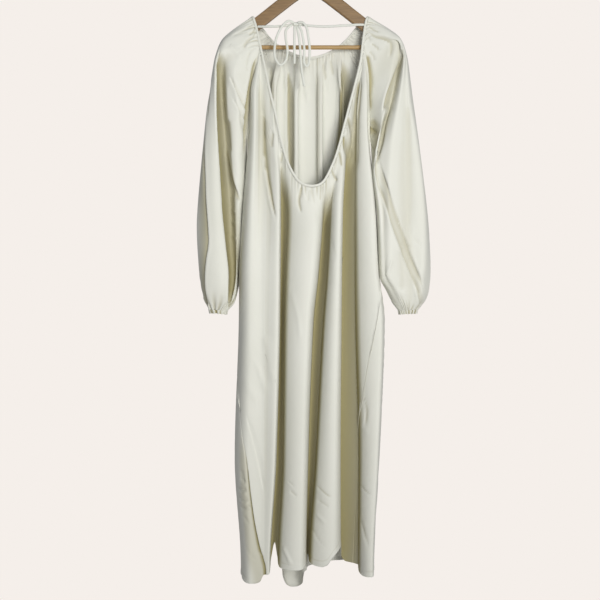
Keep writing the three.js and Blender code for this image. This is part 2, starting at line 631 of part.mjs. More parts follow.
// A sleeve's section on its front at q from 0 to 2: place across it and share of its front depth.
function frontSection(table, folds, q, w) {
  const keys = FOLD_SECTIONS.map((name) => table.findIndex((row) => row.name === name));
  const lines = folds.map((line) => new THREE.Vector2(through(keys, line.at, w), through(keys, line.y, w)));
  const section = new THREE.SplineCurve([new THREE.Vector2(-1, 0), ...lines, new THREE.Vector2(1, 0)]);
  return section.getPoint(q / 2);
}

// A sleeve's section on its back at q from 2 to 4, with one long fold.
const BACK_FOLD = { place: 0.05, width: 0.28, depth: 0.45, from: 2.5, to: 9 };
function backSection(q, w) {
  const [c, s] = [-Math.cos((Math.PI * q) / 2), -Math.sin((Math.PI * q) / 2)];
  const across = Math.sign(c) * Math.abs(c) ** 0.85;
  const way = (w - BACK_FOLD.from) / (BACK_FOLD.to - BACK_FOLD.from);
  const strength = smooth(way / 0.18) * smooth((1 - way) / 0.18);
  const away = (across - BACK_FOLD.place) / BACK_FOLD.width;
  const fold = BACK_FOLD.depth * strength * Math.exp(-(away ** 2));
  return new THREE.Vector2(across, Math.max(0, s) ** 0.85 * (1 - fold));
}

// A sleeve's point round it at q and down it at section w; side is -1 left, 1 right.
function sleevePoint(table, folds, side, q, w) {
  const keys = table.map((_, k) => k);
  const value = (pick) => through(keys, table.map(pick), w);
  const section = q <= 2 ? frontSection(table, folds, q, w) : backSection(q, w);
  const t = (section.x + 1) / 2;
  const depth = section.y * (q <= 2 ? -value((r) => r.front) : value((r) => r.back));
  const x = lerp(value((r) => r.inner[0]), value((r) => r.outer[0]), t);
  const z = lerp(value((r) => r.inner[1]), value((r) => r.outer[1]), t);
  return new THREE.Vector3(side * x, depth + value((r) => r.lead) * (1 - t) ** 3, z);
}

// A sleeve's upper edge round it at q: raglan seam, neck edge over the shoulder, raglan seam.
function sleeveEdge(side, q) {
  const names = side > 0 ? ["rightFront", "rightBack"] : ["leftFront", "leftBack"];
  if (nearShare(q) >= 0) return raglanEdge(names[0], nearShare(q), 1);
  if (farShare(q) >= 0) return raglanEdge(names[1], farShare(q), 1);
  const share = (q - SLEEVE_NEAR_CORNER) / (SLEEVE_BACK_CORNER - SLEEVE_NEAR_CORNER);
  const first = side > 0 ? CORNER.rightFront : NECK_POINTS.length;
  return underBinding(neckStretch(first, CORNER[names[1]])(share));
}

const SLEEVE_UPPER = [0, 0.12, 0.27, 0.45, 0.65, 0.84]; // shares of the way from its edge to SLEEVE_LEVEL
const SLEEVE_LEVEL = 4; // the section below which each row lies on one section
const SLEEVE_LEVELS = [SLEEVE_LEVEL, 4.6, 5.3, 6, 6.8, 7.5, 8.2, 9, 9.6];
const SLEEVE_SAMPLES = [7 / 6, 4 / 3, 3 / 2, 5 / 3, 11 / 6, 2, 2.11, 2.24, 2.4, 2.7];

function sleeve(name, table, folds, side) {
  const near = Array.from({ length: RAGLAN_STEPS + 1 }, (_, k) => (SLEEVE_NEAR_CORNER * k) / RAGLAN_STEPS);
  const far = Array.from({ length: RAGLAN_STEPS }, (_, k) => lerp(SLEEVE_BACK_CORNER, 4, k / RAGLAN_STEPS));
  const columns = [...near, ...SLEEVE_SAMPLES, ...far];
  const grid = [...SLEEVE_UPPER, ...SLEEVE_LEVELS, table.length - 1].map((row) => columns.map((q) => {
    const start = TIP_SECTION * Math.max(0, nearShare(q), farShare(q)) ** 1.2;
    const w = row < 1 ? lerp(start, SLEEVE_LEVEL, row) : row;
    return sleeveEdge(side, q).lerp(sleevePoint(table, folds, side, q, w), smooth((w - start) / 1.1));
  }));
  return clothTube(name, grid, IVORY);
}

// The elastic casing at a sleeve's end: a short thick ring under its last section.
function cuff(name, table, folds, side) {
  const last = table.length - 1;
  const ring = (drop, grow) => Array.from({ length: 16 }, (_, k) => {
    const point = sleevePoint(table, folds, side, (4 * k) / 16, last);
    const middle = (table[last].inner[0] + table[last].outer[0]) / 2 * side;
    point.x = middle + (point.x - middle) * grow;
    point.y *= grow;
    point.z -= drop;
    return point;
  });
  const rings = [ring(CUFF_GAP, 1), ring(CUFF_GAP + CUFF_DROP / 2, 0.94), ring(CUFF_GAP + CUFF_DROP, 1.02)];
  return clothTube(name, rings, IVORY, { wall: CUFF_WALL });
}

// ---------------------------------------------------------------- neck binding
// One closed tube round the whole neck, over both arms of the hanger.
function binding() {
  const path = new THREE.CatmullRomCurve3(NECK_POINTS.map(V), true, "centripetal");
  path.getUtoTmapping = (u) => u; // its rings lie closer together where its points do, over the shoulders
  const mesh = new THREE.Mesh(new THREE.TubeGeometry(path, BINDING_RINGS, BINDING_R, 6, true), IVORY);
  mesh.name = "neck_binding";
  return mesh;
}

// ---------------------------------------------------------------- the tie and its bow
const KNOT = [-35, -22, -172];
const KNOT_HALF = [7, 5.5, 5];
const TIE_LEFT = [
  [-128.3, -13.2, -176], [-115, -18, -177], [-100, -22, -177.5], [-70, -23, -177],
  [-42.1, -22, -172.6],
];
const TIE_RIGHT = [
  [-27.9, -22, -172.6], [0, -23, -176], [35, -23.5, -178], [80, -23, -175.5],
  [118, -17, -172], [131.4, -12, -171],
];
const LOOP_LEFT = [
  [-40, -25.6, -168.8], [-53, -30, -166], [-67, -32, -178], [-80, -33, -203],
  [-86, -33.5, -232], [-84, -33, -258], [-72, -33, -273], [-59, -33, -262],
  [-55, -33, -236], [-59, -31, -208], [-58, -29, -187], [-44, -27.5, -174],
];
const LOOP_RIGHT = [
  [-30, -27.5, -169], [-19, -30, -169], [-9, -32, -182], [-4, -33, -208],
  [-1, -34, -236], [-2, -34, -262], [-9, -34, -277], [-15, -33, -262],
  [-14, -32, -236], [-17, -31, -208], [-22, -29, -187], [-27.6, -27, -176.4],
];
const TAIL_SHORT = [[-37.6, -24.8, -177.2], [-38, -30, -200], [-38, -31, -235], [-38, -31, -270]];
const TAIL_LONG = [
  [-32.4, -25.2, -177.6], [-27, -29, -205], [-23.5, -30, -240], [-21, -31, -280],
  [-14, -32, -325],
];
const ROPES = [
  { name: "tie_left", points: TIE_LEFT, steps: 10 },
  { name: "tie_right", points: TIE_RIGHT, steps: 14 },
  { name: "bow_loop_left", points: LOOP_LEFT, steps: 26 },
  { name: "bow_loop_right", points: LOOP_RIGHT, steps: 24 },
  { name: "bow_tail_short", points: TAIL_SHORT, steps: 8 },
  { name: "bow_tail_long", points: TAIL_LONG, steps: 12 },
];
function knot() {
  const geometry = new THREE.SphereGeometry(1, 10, 7);
  geometry.scale(...KNOT_HALF);
  const mesh = new THREE.Mesh(geometry, TIE_IVORY);
  mesh.name = "bow_knot";
  mesh.position.set(...KNOT);
  return mesh;
}

// ---------------------------------------------------------------- hanger
// Half of the wooden frame's outline, as [x, z]: its upper edge from the crown to the tip, round the tip,
// and its lower edge back to the middle.
const ARM_TOP = [[20, -64], [78, -107], [138, -154.4], [172, -176], [198, -194.5], [210, -205]];
const ARM_TIP = [[215, -214], [215, -227], [207, -236]];
const ARM_UNDER = [[190, -238], [172, -228], [140, -195], [104, -166], [40, -116], [14, -99]];
const CROWN_TOP_Z = -59;
const CROWN_UNDER_Z = -95;
const BEVEL = 3.2;
const STEM_DEPTH = 13;

function frameGeometry() {
  const crown = [[0, CROWN_TOP_Z], [0, CROWN_UNDER_Z]];
  const runs = [
    { points: [crown[0], ...ARM_TOP], steps: 14 },
    { points: [ARM_TOP.at(-1), ...ARM_TIP], steps: 6 },
    { points: [ARM_TIP.at(-1), ...ARM_UNDER, crown[1]], steps: 14 },
  ];
  const half = runs.flatMap(({ points, steps }) => {
    const curve = new THREE.SplineCurve(points.map(([x, z]) => new THREE.Vector2(x, z)));
    return curve.getPoints(steps).slice(1);
  });
  const mirrored = half.slice(0, -1).map((p) => new THREE.Vector2(-p.x, p.y)).reverse();
  const shape = new THREE.Shape([new THREE.Vector2(...crown[0]), ...half, ...mirrored]);
  const geometry = new THREE.ExtrudeGeometry(shape, {
    depth: ARM_DEPTH - 2 * BEVEL, bevelEnabled: true, bevelThickness: BEVEL, bevelSize: BEVEL,
    bevelOffset: -BEVEL, bevelSegments: 2,
  });
  geometry.rotateX(Math.PI / 2);
  geometry.translate(0, ARM_DEPTH / 2 - BEVEL, 0);
  return geometry;
}

// The frame with its bores: one right through for the bar, from inside one tip to inside the other, and one
// down from the crown for the hook's stem.
function frame(wasm) {
  const [barR, stemR] = [BAR_R + FIT, HOOK_WIRE_R + FIT];
  const barBore = new THREE.CylinderGeometry(barR, barR, 2 * (BAR_HALF + FIT), 16);
  barBore.rotateZ(Math.PI / 2).translate(0, 0, BAR_Z);
  const stemBore = new THREE.CylinderGeometry(stemR, stemR, 2 * (STEM_DEPTH + FIT), 12);
  stemBore.rotateX(Math.PI / 2).translate(0, 0, CROWN_TOP_Z);
  const bores = solidOf(wasm, barBore).add(solidOf(wasm, stemBore));
  return meshFrom(solidOf(wasm, frameGeometry()).subtract(bores), "hanger_frame", WOOD);
}

function bar() {
  const mesh = new THREE.Mesh(new THREE.CylinderGeometry(BAR_R, BAR_R, 2 * BAR_HALF, 16), WOOD);
  mesh.name = "hanger_bar";
  mesh.rotation.z = Math.PI / 2;
  mesh.position.z = BAR_Z;
  return mesh;
}

function hook() {
  const wireMiddle = HOOK_INNER_R + HOOK_WIRE_R;
  const stemTop = CROWN_TOP_Z + 2;
  const stem = [CROWN_TOP_Z - STEM_DEPTH, CROWN_TOP_Z - 5, stemTop].map((z) => [0, 0, z]);
  const points = [...stem, [0.4, 0, stemTop + 4], [3, 0, stemTop + 10]];
  for (let k = 0; k <= 12; k++) {
    const angle = THREE.MathUtils.degToRad(lerp(-62, 205, k / 12));
    points.push([wireMiddle * Math.cos(angle), 0, -HOOK_INNER_R + wireMiddle * Math.sin(angle)]);
  }
  return sweep("hanger_hook", points, HOOK_WIRE_R, STEEL, { steps: 40, sides: 10 });
}

// ---------------------------------------------------------------- the whole
const wasm = await Module();
wasm.setup();
const dress = new THREE.Group();
dress.add(
  ...panels(),
  sleeve("sleeve_left", LEFT_SLEEVE, LEFT_FOLDS, -1), sleeve("sleeve_right", RIGHT_SLEEVE, RIGHT_FOLDS, 1),
  cuff("cuff_left", LEFT_SLEEVE, LEFT_FOLDS, -1), cuff("cuff_right", RIGHT_SLEEVE, RIGHT_FOLDS, 1),
  binding(),
  knot(),
  ...ROPES.map(({ name, points, steps }) => sweep(name, points, TIE_R, TIE_IVORY, { steps })),
);
const hanger = new THREE.Group();
hanger.add(frame(wasm), bar(), hook());
dress.add(hanger);
export default dress;
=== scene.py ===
# %% [markdown]
# # A maxi dress on its hanger
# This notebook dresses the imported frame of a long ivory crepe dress. The frame gives every size and
# place, so each step below builds one real piece of the garment over its plain solid: the cords of the
# bow, the four gathered cloth panels, the cuffs, the bound neck edge, and last the finishes of cloth,
# wood and steel.

# %% The frame
import json
import math

import bpy
import numpy as np
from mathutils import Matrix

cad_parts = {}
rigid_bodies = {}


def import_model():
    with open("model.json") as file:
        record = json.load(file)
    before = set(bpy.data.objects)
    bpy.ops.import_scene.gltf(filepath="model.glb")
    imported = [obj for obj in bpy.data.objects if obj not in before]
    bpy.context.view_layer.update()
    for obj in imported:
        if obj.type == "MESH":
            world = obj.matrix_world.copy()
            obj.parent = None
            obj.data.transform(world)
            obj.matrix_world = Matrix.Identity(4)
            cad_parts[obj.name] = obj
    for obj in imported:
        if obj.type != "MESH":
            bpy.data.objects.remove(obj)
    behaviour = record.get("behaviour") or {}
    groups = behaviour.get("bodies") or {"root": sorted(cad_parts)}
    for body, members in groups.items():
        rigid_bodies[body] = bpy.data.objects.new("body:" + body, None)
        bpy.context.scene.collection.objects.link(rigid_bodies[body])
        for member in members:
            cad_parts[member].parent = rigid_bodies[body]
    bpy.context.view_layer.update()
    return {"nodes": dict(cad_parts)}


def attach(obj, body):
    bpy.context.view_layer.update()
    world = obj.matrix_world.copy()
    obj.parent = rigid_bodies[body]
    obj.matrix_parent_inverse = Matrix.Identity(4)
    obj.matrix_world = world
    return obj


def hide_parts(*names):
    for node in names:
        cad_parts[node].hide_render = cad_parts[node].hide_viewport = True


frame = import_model()

MM = 0.001

# %% [markdown]
# ## The camera
# A dress on a hanger is shown from straight ahead and level with its middle, from a few steps away, so
# that its long folds stay upright. A lens is chosen by what it takes in at the dress: that width over the
# distance gives the focal length for a 36 mm sensor. Depth of field stays off, so every fold is sharp.

# %% The camera
DISTANCE = 3.1
WIDTH_SEEN = 1.47
MIDDLE_SEEN = (-0.0245, -0.8428)
SENSOR = 36.0

camera_data = bpy.data.cameras.new("camera")
camera_data.sensor_width = SENSOR
camera_data.lens = SENSOR * DISTANCE / WIDTH_SEEN
camera = bpy.data.objects.new("camera", camera_data)
camera.location = (MIDDLE_SEEN[0], -DISTANCE, MIDDLE_SEEN[1])
camera.rotation_euler = (math.radians(90), 0, 0)
bpy.context.scene.collection.objects.link(camera)
bpy.context.scene.camera = camera
print("focal length:", round(camera_data.lens, 1), "mm")

# %% [markdown]
# ## Curves and meshes
# Every piece here is a surface swept over a grid of points, so three tools are enough. One evaluates the
# same smooth curve that the frame's source uses, through a list of points. One runs a smooth line through
# a table of sizes without overshooting it. One turns a grid of points into a mesh.

# %% A smooth curve through points
def curve(points, t, closed=False):
    """Points of the centripetal Catmull-Rom curve through points, at t counted in points."""
    points = np.asarray(points, float)
    count = len(points)
    t = np.asarray(t, float)
    if closed:
        i = np.floor(t).astype(int)
        quad = [points[(i + k) % count] for k in (-1, 0, 1, 2)]
    else:
        i = np.clip(np.floor(t).astype(int), 0, count - 2)
        ends = np.vstack([2 * points[0] - points[1], points, 2 * points[-1] - points[-2]])
        quad = [ends[i + k] for k in (0, 1, 2, 3)]
    s = (t - i)[..., None]
    gap = [np.sqrt(np.linalg.norm(quad[k + 1] - quad[k], axis=-1))[..., None] for k in range(3)]
    p0, p1, p2, p3 = quad
    m1 = ((p1 - p0) / gap[0] - (p2 - p0) / (gap[0] + gap[1]) + (p2 - p1) / gap[1]) * gap[1]
    m2 = ((p2 - p1) / gap[1] - (p3 - p1) / (gap[1] + gap[2]) + (p3 - p2) / gap[2]) * gap[1]
    return hermite(s, p1, p2, m1, m2)


def hermite(s, p1, p2, m1, m2):
    """The cubic from p1 to p2 whose ends leave along m1 and m2."""
    return ((2 * s**3 - 3 * s**2 + 1) * p1 + (s**3 - 2 * s**2 + s) * m1
            + (3 * s**2 - 2 * s**3) * p2 + (s**3 - s**2) * m2)


def run_of(line):
    """How far along a line each of its points lies."""
    return np.concatenate([[0], np.cumsum(np.linalg.norm(np.diff(line, axis=0), axis=1))])


def even(points, step, closed=False):
    """Points a step apart on the curve through points."""
    count = len(points) - (0 if closed else 1)
    fine = curve(points, np.linspace(0, count, 200 * count + 1)[:None if not closed else -1], closed)
    lengths = run_of(fine)
    places = np.linspace(0, lengths[-1], max(4, round(lengths[-1] / step)) + 1)
    return np.stack([np.interp(places, lengths, fine[:, k]) for k in range(3)], axis=1)


print("a 100 mm line in 25 mm steps:", even([[0, 0, 0], [100, 0, 0]], 25)[:, 0].round(1).tolist())

# %% A smooth line through a table
def through(xs, ys, x):
    """The height at x of a smooth line through (xs, ys) that never overshoots them."""
    xs, ys, x = (np.asarray(a, float) for a in (xs, ys, x))
    slope = np.diff(ys) / np.diff(xs)
    a, b = slope[:-1], slope[1:]
    tangent = np.zeros(len(xs))
    tangent[1:-1] = np.where(a * b > 0, 2 * a * b / np.where(a + b == 0, 1, a + b), 0)
    i = np.clip(np.searchsorted(xs, x, side="left") - 1, 0, len(xs) - 2)
    h = xs[i + 1] - xs[i]
    s = np.clip((x - xs[i]) / h, 0, 1)
    return hermite(s, ys[i], ys[i + 1], tangent[i] * h, tangent[i + 1] * h)


def lerp(a, b, t):
    """The place that is the share t of the way from a to b."""
    return a + (b - a) * t


def smooth(t):
    """An S-shaped rise from 0 at t = 0 to 1 at t = 1."""
    t = np.clip(t, 0, 1)
    return t * t * (3 - 2 * t)


def unit(vectors):
    """The same vectors, each 1 long."""
    return vectors / np.maximum(np.linalg.norm(vectors, axis=-1, keepdims=True), 1e-9)


print("between 0, 10 and 40:", [round(float(through([0, 1, 2], [0, 10, 40], x)), 1) for x in (0.5, 1, 1.5)])

# %% A mesh from a grid of points
def grid_faces(rows, columns, round_it, start=0, flip=False):
    """Faces of a grid whose points are numbered along its rows; round_it joins each row's ends."""
    i, j = np.meshgrid(np.arange(rows - 1), np.arange(columns if round_it else columns - 1), indexing="ij")
    k = (j + 1) % columns
    faces = np.stack([i * columns + j, i * columns + k, (i + 1) * columns + k, (i + 1) * columns + j], -1)
    faces = faces.reshape(-1, 4) + start
    return faces[:, ::-1] if flip else faces


def normals_of(grid, round_it):
    """The normals of a grid of points, [row, column, xyz]."""
    if round_it:
        across = np.roll(grid, -1, axis=1) - np.roll(grid, 1, axis=1)
    else:
        across = np.gradient(grid, axis=1)
    return unit(np.cross(across, np.gradient(grid, axis=0)))


def piece(name, points, faces, replaces):
    """A smooth mesh from points in millimetres, riding on the root body in place of its CAD nodes."""
    mesh = bpy.data.meshes.new(name)
    mesh.from_pydata((np.asarray(points).reshape(-1, 3) * MM).tolist(), [], [list(f) for f in faces])
    mesh.polygons.foreach_set("use_smooth", np.ones(len(mesh.polygons), bool))
    mesh.validate()
    obj = bpy.data.objects.new(name, mesh)
    bpy.context.scene.collection.objects.link(obj)
    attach(obj, "root")
    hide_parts(*replaces)
    return obj


print("a grid of 3 by 4 points has", len(grid_faces(3, 4, False)), "faces")

# %% [markdown]
# ## The tie and its bow
# The tie is a rouleau: a narrow bias strip sewn into a tube and turned right side out. It is limp, a
# little flattened, and hangs in soft loops from its knot. Each run of it is a cord with a known route, so
# it is swept as a tube of an oval section whose broad side faces forward. The real thing is one strip;
# here each run from the knot is a piece of its own, because each leaves the knot by itself.

# %% The routes of the tie
KNOT = np.array([-35, -22, -172.0])
KNOT_HALF = np.array([7, 5.5, 5.0])
CORD_WIDTH = 6.0
CORD_DEPTH = 4.6
ROUTES = {
    "tie_left": [[-128.3, -13.2, -176], [-115, -18, -177], [-100, -22, -177.5], [-70, -23, -177],
                 [-42.1, -22, -172.6]],
    "tie_right": [[-27.9, -22, -172.6], [0, -23, -176], [35, -23.5, -178], [80, -23, -175.5],
                  [118, -17, -172], [131.4, -12, -171]],
    "bow_loop_left": [[-40, -25.6, -168.8], [-53, -30, -166], [-67, -32, -178], [-80, -33, -203],
                      [-86, -33.5, -232], [-84, -33, -258], [-72, -33, -273], [-59, -33, -262],
                      [-55, -33, -236], [-59, -31, -208], [-58, -29, -187], [-44, -27.5, -174]],
    "bow_loop_right": [[-30, -27.5, -169], [-19, -30, -169], [-9, -32, -182], [-4, -33, -208],
                       [-1, -34, -236], [-2, -34, -262], [-4, -34, -272], [-9, -34, -276.5],
                       [-13.8, -33.6, -271], [-15, -33, -261], [-14, -32, -236], [-17, -31, -208],
                       [-22, -29, -187], [-27.6, -27, -176.4]],
    "bow_tail_short": [[-37.6, -24.8, -177.2], [-38, -30, -200], [-38, -31, -235], [-38, -31, -270]],
    "bow_tail_long": [[-32.4, -25.2, -177.6], [-27, -29, -205], [-23.5, -30, -240], [-21, -31, -280],
                      [-14, -32, -325]],
}

# %% A rouleau tube
def rouleau(name, route, sides=16, step=1.6):
    """An oval tube along a route, with the small puckers of its hidden seam allowance."""
    path = even(route, step)
    along = unit(np.gradient(path, axis=0))
    broad = unit(np.cross(along, [0, 1, 0]))
    deep = np.cross(along, broad)
    places = np.arange(len(path)) * step
    angle = 2 * np.pi * np.arange(sides) / sides
    pucker = 1 + 0.035 * np.sin(places * 0.9 + 2 * np.sin(places * 0.13))[:, None] * np.cos(angle - 1)
    pucker += 0.03 * np.sin(places * 0.31 + 1)[:, None] * np.sin(2 * angle)
    ends = np.ones(len(path))
    ends[[0, -1]], ends[[1, -2]] = 0.72, 0.94
    size = (pucker * ends[:, None])[..., None]
    rings = path[:, None] + size * (
        broad[:, None] * (CORD_WIDTH / 2 * np.cos(angle))[None, :, None]
        + deep[:, None] * (CORD_DEPTH / 2 * np.sin(angle))[None, :, None])
    points = np.vstack([rings.reshape(-1, 3), path[0], path[-1]])
    faces = grid_faces(len(path), sides, True, flip=True).tolist()
    first, last = len(points) - 2, (len(path) - 1) * sides
    for k in range(sides):
        faces.append([first, k, (k + 1) % sides])
        faces.append([first + 1, last + (k + 1) % sides, last + k])
    return piece(f"rouleau_{name}", points, faces, [name]), path


cords, paths = {}, {}
for name, route in ROUTES.items():
    cords[name], paths[name] = rouleau(name, route)

# %% [markdown]
# ## The knot
# A bow's knot is the strip wrapped once round its own crossing and pulled tight, so it is a short upright
# pad with a fold down its middle, and it swells where the loops leave it. It is one rounded form, pressed
# in by the folds that the wrap leaves.

# %% The knot
KNOT_ROWS = 40
KNOT_COLUMNS = 48


def knot():
    """A pinched pad with the creases of a wrap, over the frame's plain ellipsoid."""
    turns = 2 * np.pi * np.arange(KNOT_COLUMNS) / KNOT_COLUMNS
    tilt, turn = np.meshgrid(np.linspace(0, np.pi, KNOT_ROWS), turns, indexing="ij")
    ball = np.stack([np.cos(tilt), np.sin(tilt) * np.cos(turn), np.sin(tilt) * np.sin(turn)], -1)
    x, y, z = ball[..., 0], ball[..., 1], ball[..., 2]
    waist = 1 - 0.16 * np.exp(-(x / 0.4) ** 2)
    wrap = 0.1 * np.exp(-((np.abs(x) - 0.5) / 0.16) ** 2)
    crease = -0.08 * np.exp(-((z - 0.5 * x) / 0.13) ** 2) - 0.05 * np.exp(-((z + 0.35 - 0.3 * x) / 0.1) ** 2)
    size = (waist + wrap + crease * np.clip(-y, 0, 1) + 0.12)[..., None]
    return KNOT + ball * KNOT_HALF * size


knot_faces = grid_faces(KNOT_ROWS, KNOT_COLUMNS, True)
knot_piece = piece("bow_knot_pad", knot(), knot_faces, ["bow_knot"])
print("knot:", [round(2 * half, 1) for half in KNOT_HALF], "mm before its creases")

# %% [markdown]
# ## The hang of the cloth
# Gathered cloth on a hanger falls in flutes: tall round folds with narrow valleys between them. The dress
# is cut from one closed ring of ten flutes, five in front and five behind, and each has its own width,
# depth and lean at six heights. A table of those sizes and a rule for one flute's section give every
# point of the cloth.

# %% The ring of flutes
LEVELS = (-1494, -1228, -891, -781, -638, -387)  # hem, knee, waist, elbow, chest and bust
UNDERARM_Z = -451
# Each row: the neck shares where it starts and ends, where across it its crest lies and its fullness, then
# from x, to x, crest y and valley y at each level from the hem up.
FLUTES = [
    ((0.0, 0.054), 0.5, 0.6, (-166, -118, -66, -64), (-181, -117, -64, -62), (-171, -116, -60, -57),
     (-170, -117, -57, -53), (-163, -118, -52, -42), (-146, -121, -40, -20)),
    ((0.093, 0.335), 0.8, 0.6, (-113, -97, -68, -10), (-112, -82, -72, -8), (-110, -73, -67, -6),
     (-108, -72, -63, -6), (-104, -71, -58, -6), (-108, -75, -44, -16)),
    ((0.383, 0.543), 0.68, 0.5, (-78, -9, -78, -6), (-66, -4, -74, -2), (-62, 9, -70, 2),
     (-59, 21, -66, 2), (-54, 32, -62, 2), (-56, 42, -50, -8)),
    ((0.581, 0.738), 0.6, 0.55, (-2, 76, -76, 8), (14, 75, -72, 7), (33, 77, -66, 7),
     (42, 78, -62, 7), (50, 80, -58, 6), (58, 92, -42, -6)),
    ((0.887, 1.0), 0.8, 0.6, (118, 154, -66, -2), (119, 167, -66, -2), (111, 180, -60, -2),
     (110, 167, -56, -3), (110, 160, -50, -4), (113, 140, -38, -6)),
    ((0.0, 0.1), 1, 0.65, (154, 106, 62, 22), (167, 98, 66, 20), (180, 98, 58, 18),
     (167, 95, 48, 16), (160, 92, 36, 14), (140, 84, 30, 12)),
    ((0.16, 0.34), 1, 0.65, (96, 44, 68, 22), (88, 40, 68, 20), (86, 34, 60, 18),
     (82, 32, 48, 16), (80, 32, 36, 15), (74, 30, 30, 12)),
    ((0.4, 0.6), 1, 0.65, (34, -8, 70, 24), (28, -18, 70, 20), (22, -28, 60, 18),
     (20, -28, 48, 16), (20, -28, 36, 15), (20, -30, 30, 12)),
    ((0.66, 0.84), 1, 0.65, (-18, -68, 74, 18), (-30, -76, 70, 20), (-40, -88, 60, 18),
     (-40, -86, 48, 16), (-40, -86, 36, 15), (-38, -84, 31, 13)),
    ((0.9, 1.0), 1, 0.65, (-98, -166, 58, 6), (-92, -181, 62, 6), (-100, -171, 56, 6),
     (-98, -170, 50, 6), (-98, -163, 40, 6), (-94, -146, 34, 6)),
]
RISE, FALL = 0.6, 3.2
VALLEY_CLIMB = 20  # how far the cloth comes forward again across a front valley
FRONT_COUNT = 5
RING = len(FLUTES)
LEFT_SIDE = -0.14  # the ring position of the left side seam above the waist
RIGHT_SIDE = 4.86
ARC_SHARE = 0.72  # how much of a flute's part of the ring is its fold; the rest is its valley
SIDE_BULGE = 3
VALLEY_FULL = 50  # a valley this far behind its crest takes the full shade
print("flutes:", FRONT_COUNT, "in front and", RING - FRONT_COUNT, "behind")


# %% One flute
def at(flute, column, z):
    """One size of a flute at the heights z."""
    return through(LEVELS, [level[column] for level in FLUTES[flute % RING][3:]], z)


def climb(flute, z):
    """How far the cloth comes forward across the valley after a front flute."""
    return VALLEY_CLIMB * np.clip((at(flute, 3, z) - at(flute, 2, z)) / 60, 0, 1)


def flute_section(share, peak, flute):
    """How far a flute's cloth has come forward: a long rise to its peak, then a flat top and a steep fall."""
    rising = np.clip(share / peak, 0, 1)
    falling = np.clip((share - peak) / (1 - peak), 0, 1)
    rise = smooth(rising) if flute == 1 else (1 - (1 - rising) ** 2) ** RISE
    fall = 1 - smooth(falling) if flute == 0 else (1 - falling**FALL) ** 0.5
    return np.where(share < peak, rise, fall)


print("the second flute at the hem goes from x", at(1, 0, LEVELS[0]), "to", at(1, 1, LEVELS[0]))


# %% The whole ring
def ring(v, z):
    """The points at ring positions v and heights z: x, y and how deep in a fold each lies, 0 to 1, for its
    painted shade.
    """
    v, z = np.broadcast_arrays(v, z)
    flute = np.floor(np.mod(v, RING)).astype(int)
    share = np.mod(v, RING) - flute
    x, y, deep = np.empty(v.shape), np.empty(v.shape), np.zeros(v.shape)
    for f, (_, peak, full, *_) in enumerate(FLUTES):
        here = (flute == f) & (share <= ARC_SHARE)
        s, h = share[here] / ARC_SHARE, z[here]
        x0, x1, crest, floor = (at(f, column, h) for column in range(4))
        before = at(f - 1, 3, h) * (-1 if f in (0, FRONT_COUNT) else 1)
        if 0 < f < FRONT_COUNT:
            before = before - climb(f - 1, h)
        across = np.cos(np.pi * s)
        place = (1 - np.sign(across) * np.abs(across) ** full) / 2
        if f < FRONT_COUNT:
            rise = flute_section(place, peak, f)
        else:
            rise = np.maximum(0, np.sin(np.pi * s)) ** full
        base = np.where(place < peak, before, floor) if f < FRONT_COUNT else lerp(before, floor, smooth(s))
        x[here] = lerp(x0, x1, place)
        y[here] = base + (crest - base) * rise
        outer_side = {0: place < 0.5, FRONT_COUNT - 1: place > 0.5, FRONT_COUNT: place < 0.5,
                      RING - 1: place > 0.5}.get(f, False)
        depth = np.clip(np.abs(crest - base) / VALLEY_FULL, 0, 1)
        deep[here] = np.where(outer_side, 0, depth * (1 - smooth((rise - 0.2) / 0.5)))
        here = (flute == f) & (share > ARC_SHARE)
        s, h = (share[here] - ARC_SHARE) / (1 - ARC_SHARE), z[here]
        x1, crest, floor, after = at(f, 1, h), at(f, 2, h), at(f, 3, h), at(f + 1, 0, h)
        bow = np.sin(np.pi * s)
        if f in (FRONT_COUNT - 1, RING - 1):
            x[here] = lerp(x1, after, s) + np.sign(x1) * SIDE_BULGE * bow
            y[here] = lerp(floor, -floor, s)
        else:
            hollow = np.sign(floor - crest) * np.minimum(4, np.abs(after - x1) * 0.2)
            hollow = hollow * np.clip(np.abs(crest - floor) / 20, 0, 1) ** 2
            x[here] = lerp(x1, after, s)
            y[here] = floor + hollow * bow - (climb(f, h) * s**1.3 if f < FRONT_COUNT else 0)
            deep[here] = np.clip(np.abs(crest - floor) / VALLEY_FULL, 0, 1) * (1 - 0.3 * s)
    return x, y, deep


hem_ring = ring(np.linspace(0, RING, 2001), LEVELS[0])
print("cloth round the hem:", round(np.hypot(np.diff(hem_ring[0]), np.diff(hem_ring[1])).sum()), "mm")

# %% The side seams and the hem
LEFT_SEAM_X = ((-1494, -106), (-1433, -121), (-1373, -133), (-1325, -140), (-1228, -152), (-1180, -162),
               (-1108, -169))
RIGHT_SEAM_X = ((-1228, 117), (-1136, 119), (-1085, 128), (-1025, 136), (-984, 143), (-940, 152), (-880, 163),
                (-820, 170))


def seam_places(line, first, last):
    """A seam as heights and ring positions, from its line in heights and x between two ring positions."""
    heights = np.linspace(line[0][0], line[-1][0], 28)
    fine = np.linspace(first, last, 1600)
    places = [np.interp(x, ring(fine, z)[0], fine) for x, z in zip(through(*zip(*line), heights), heights)]
    return heights.tolist(), places


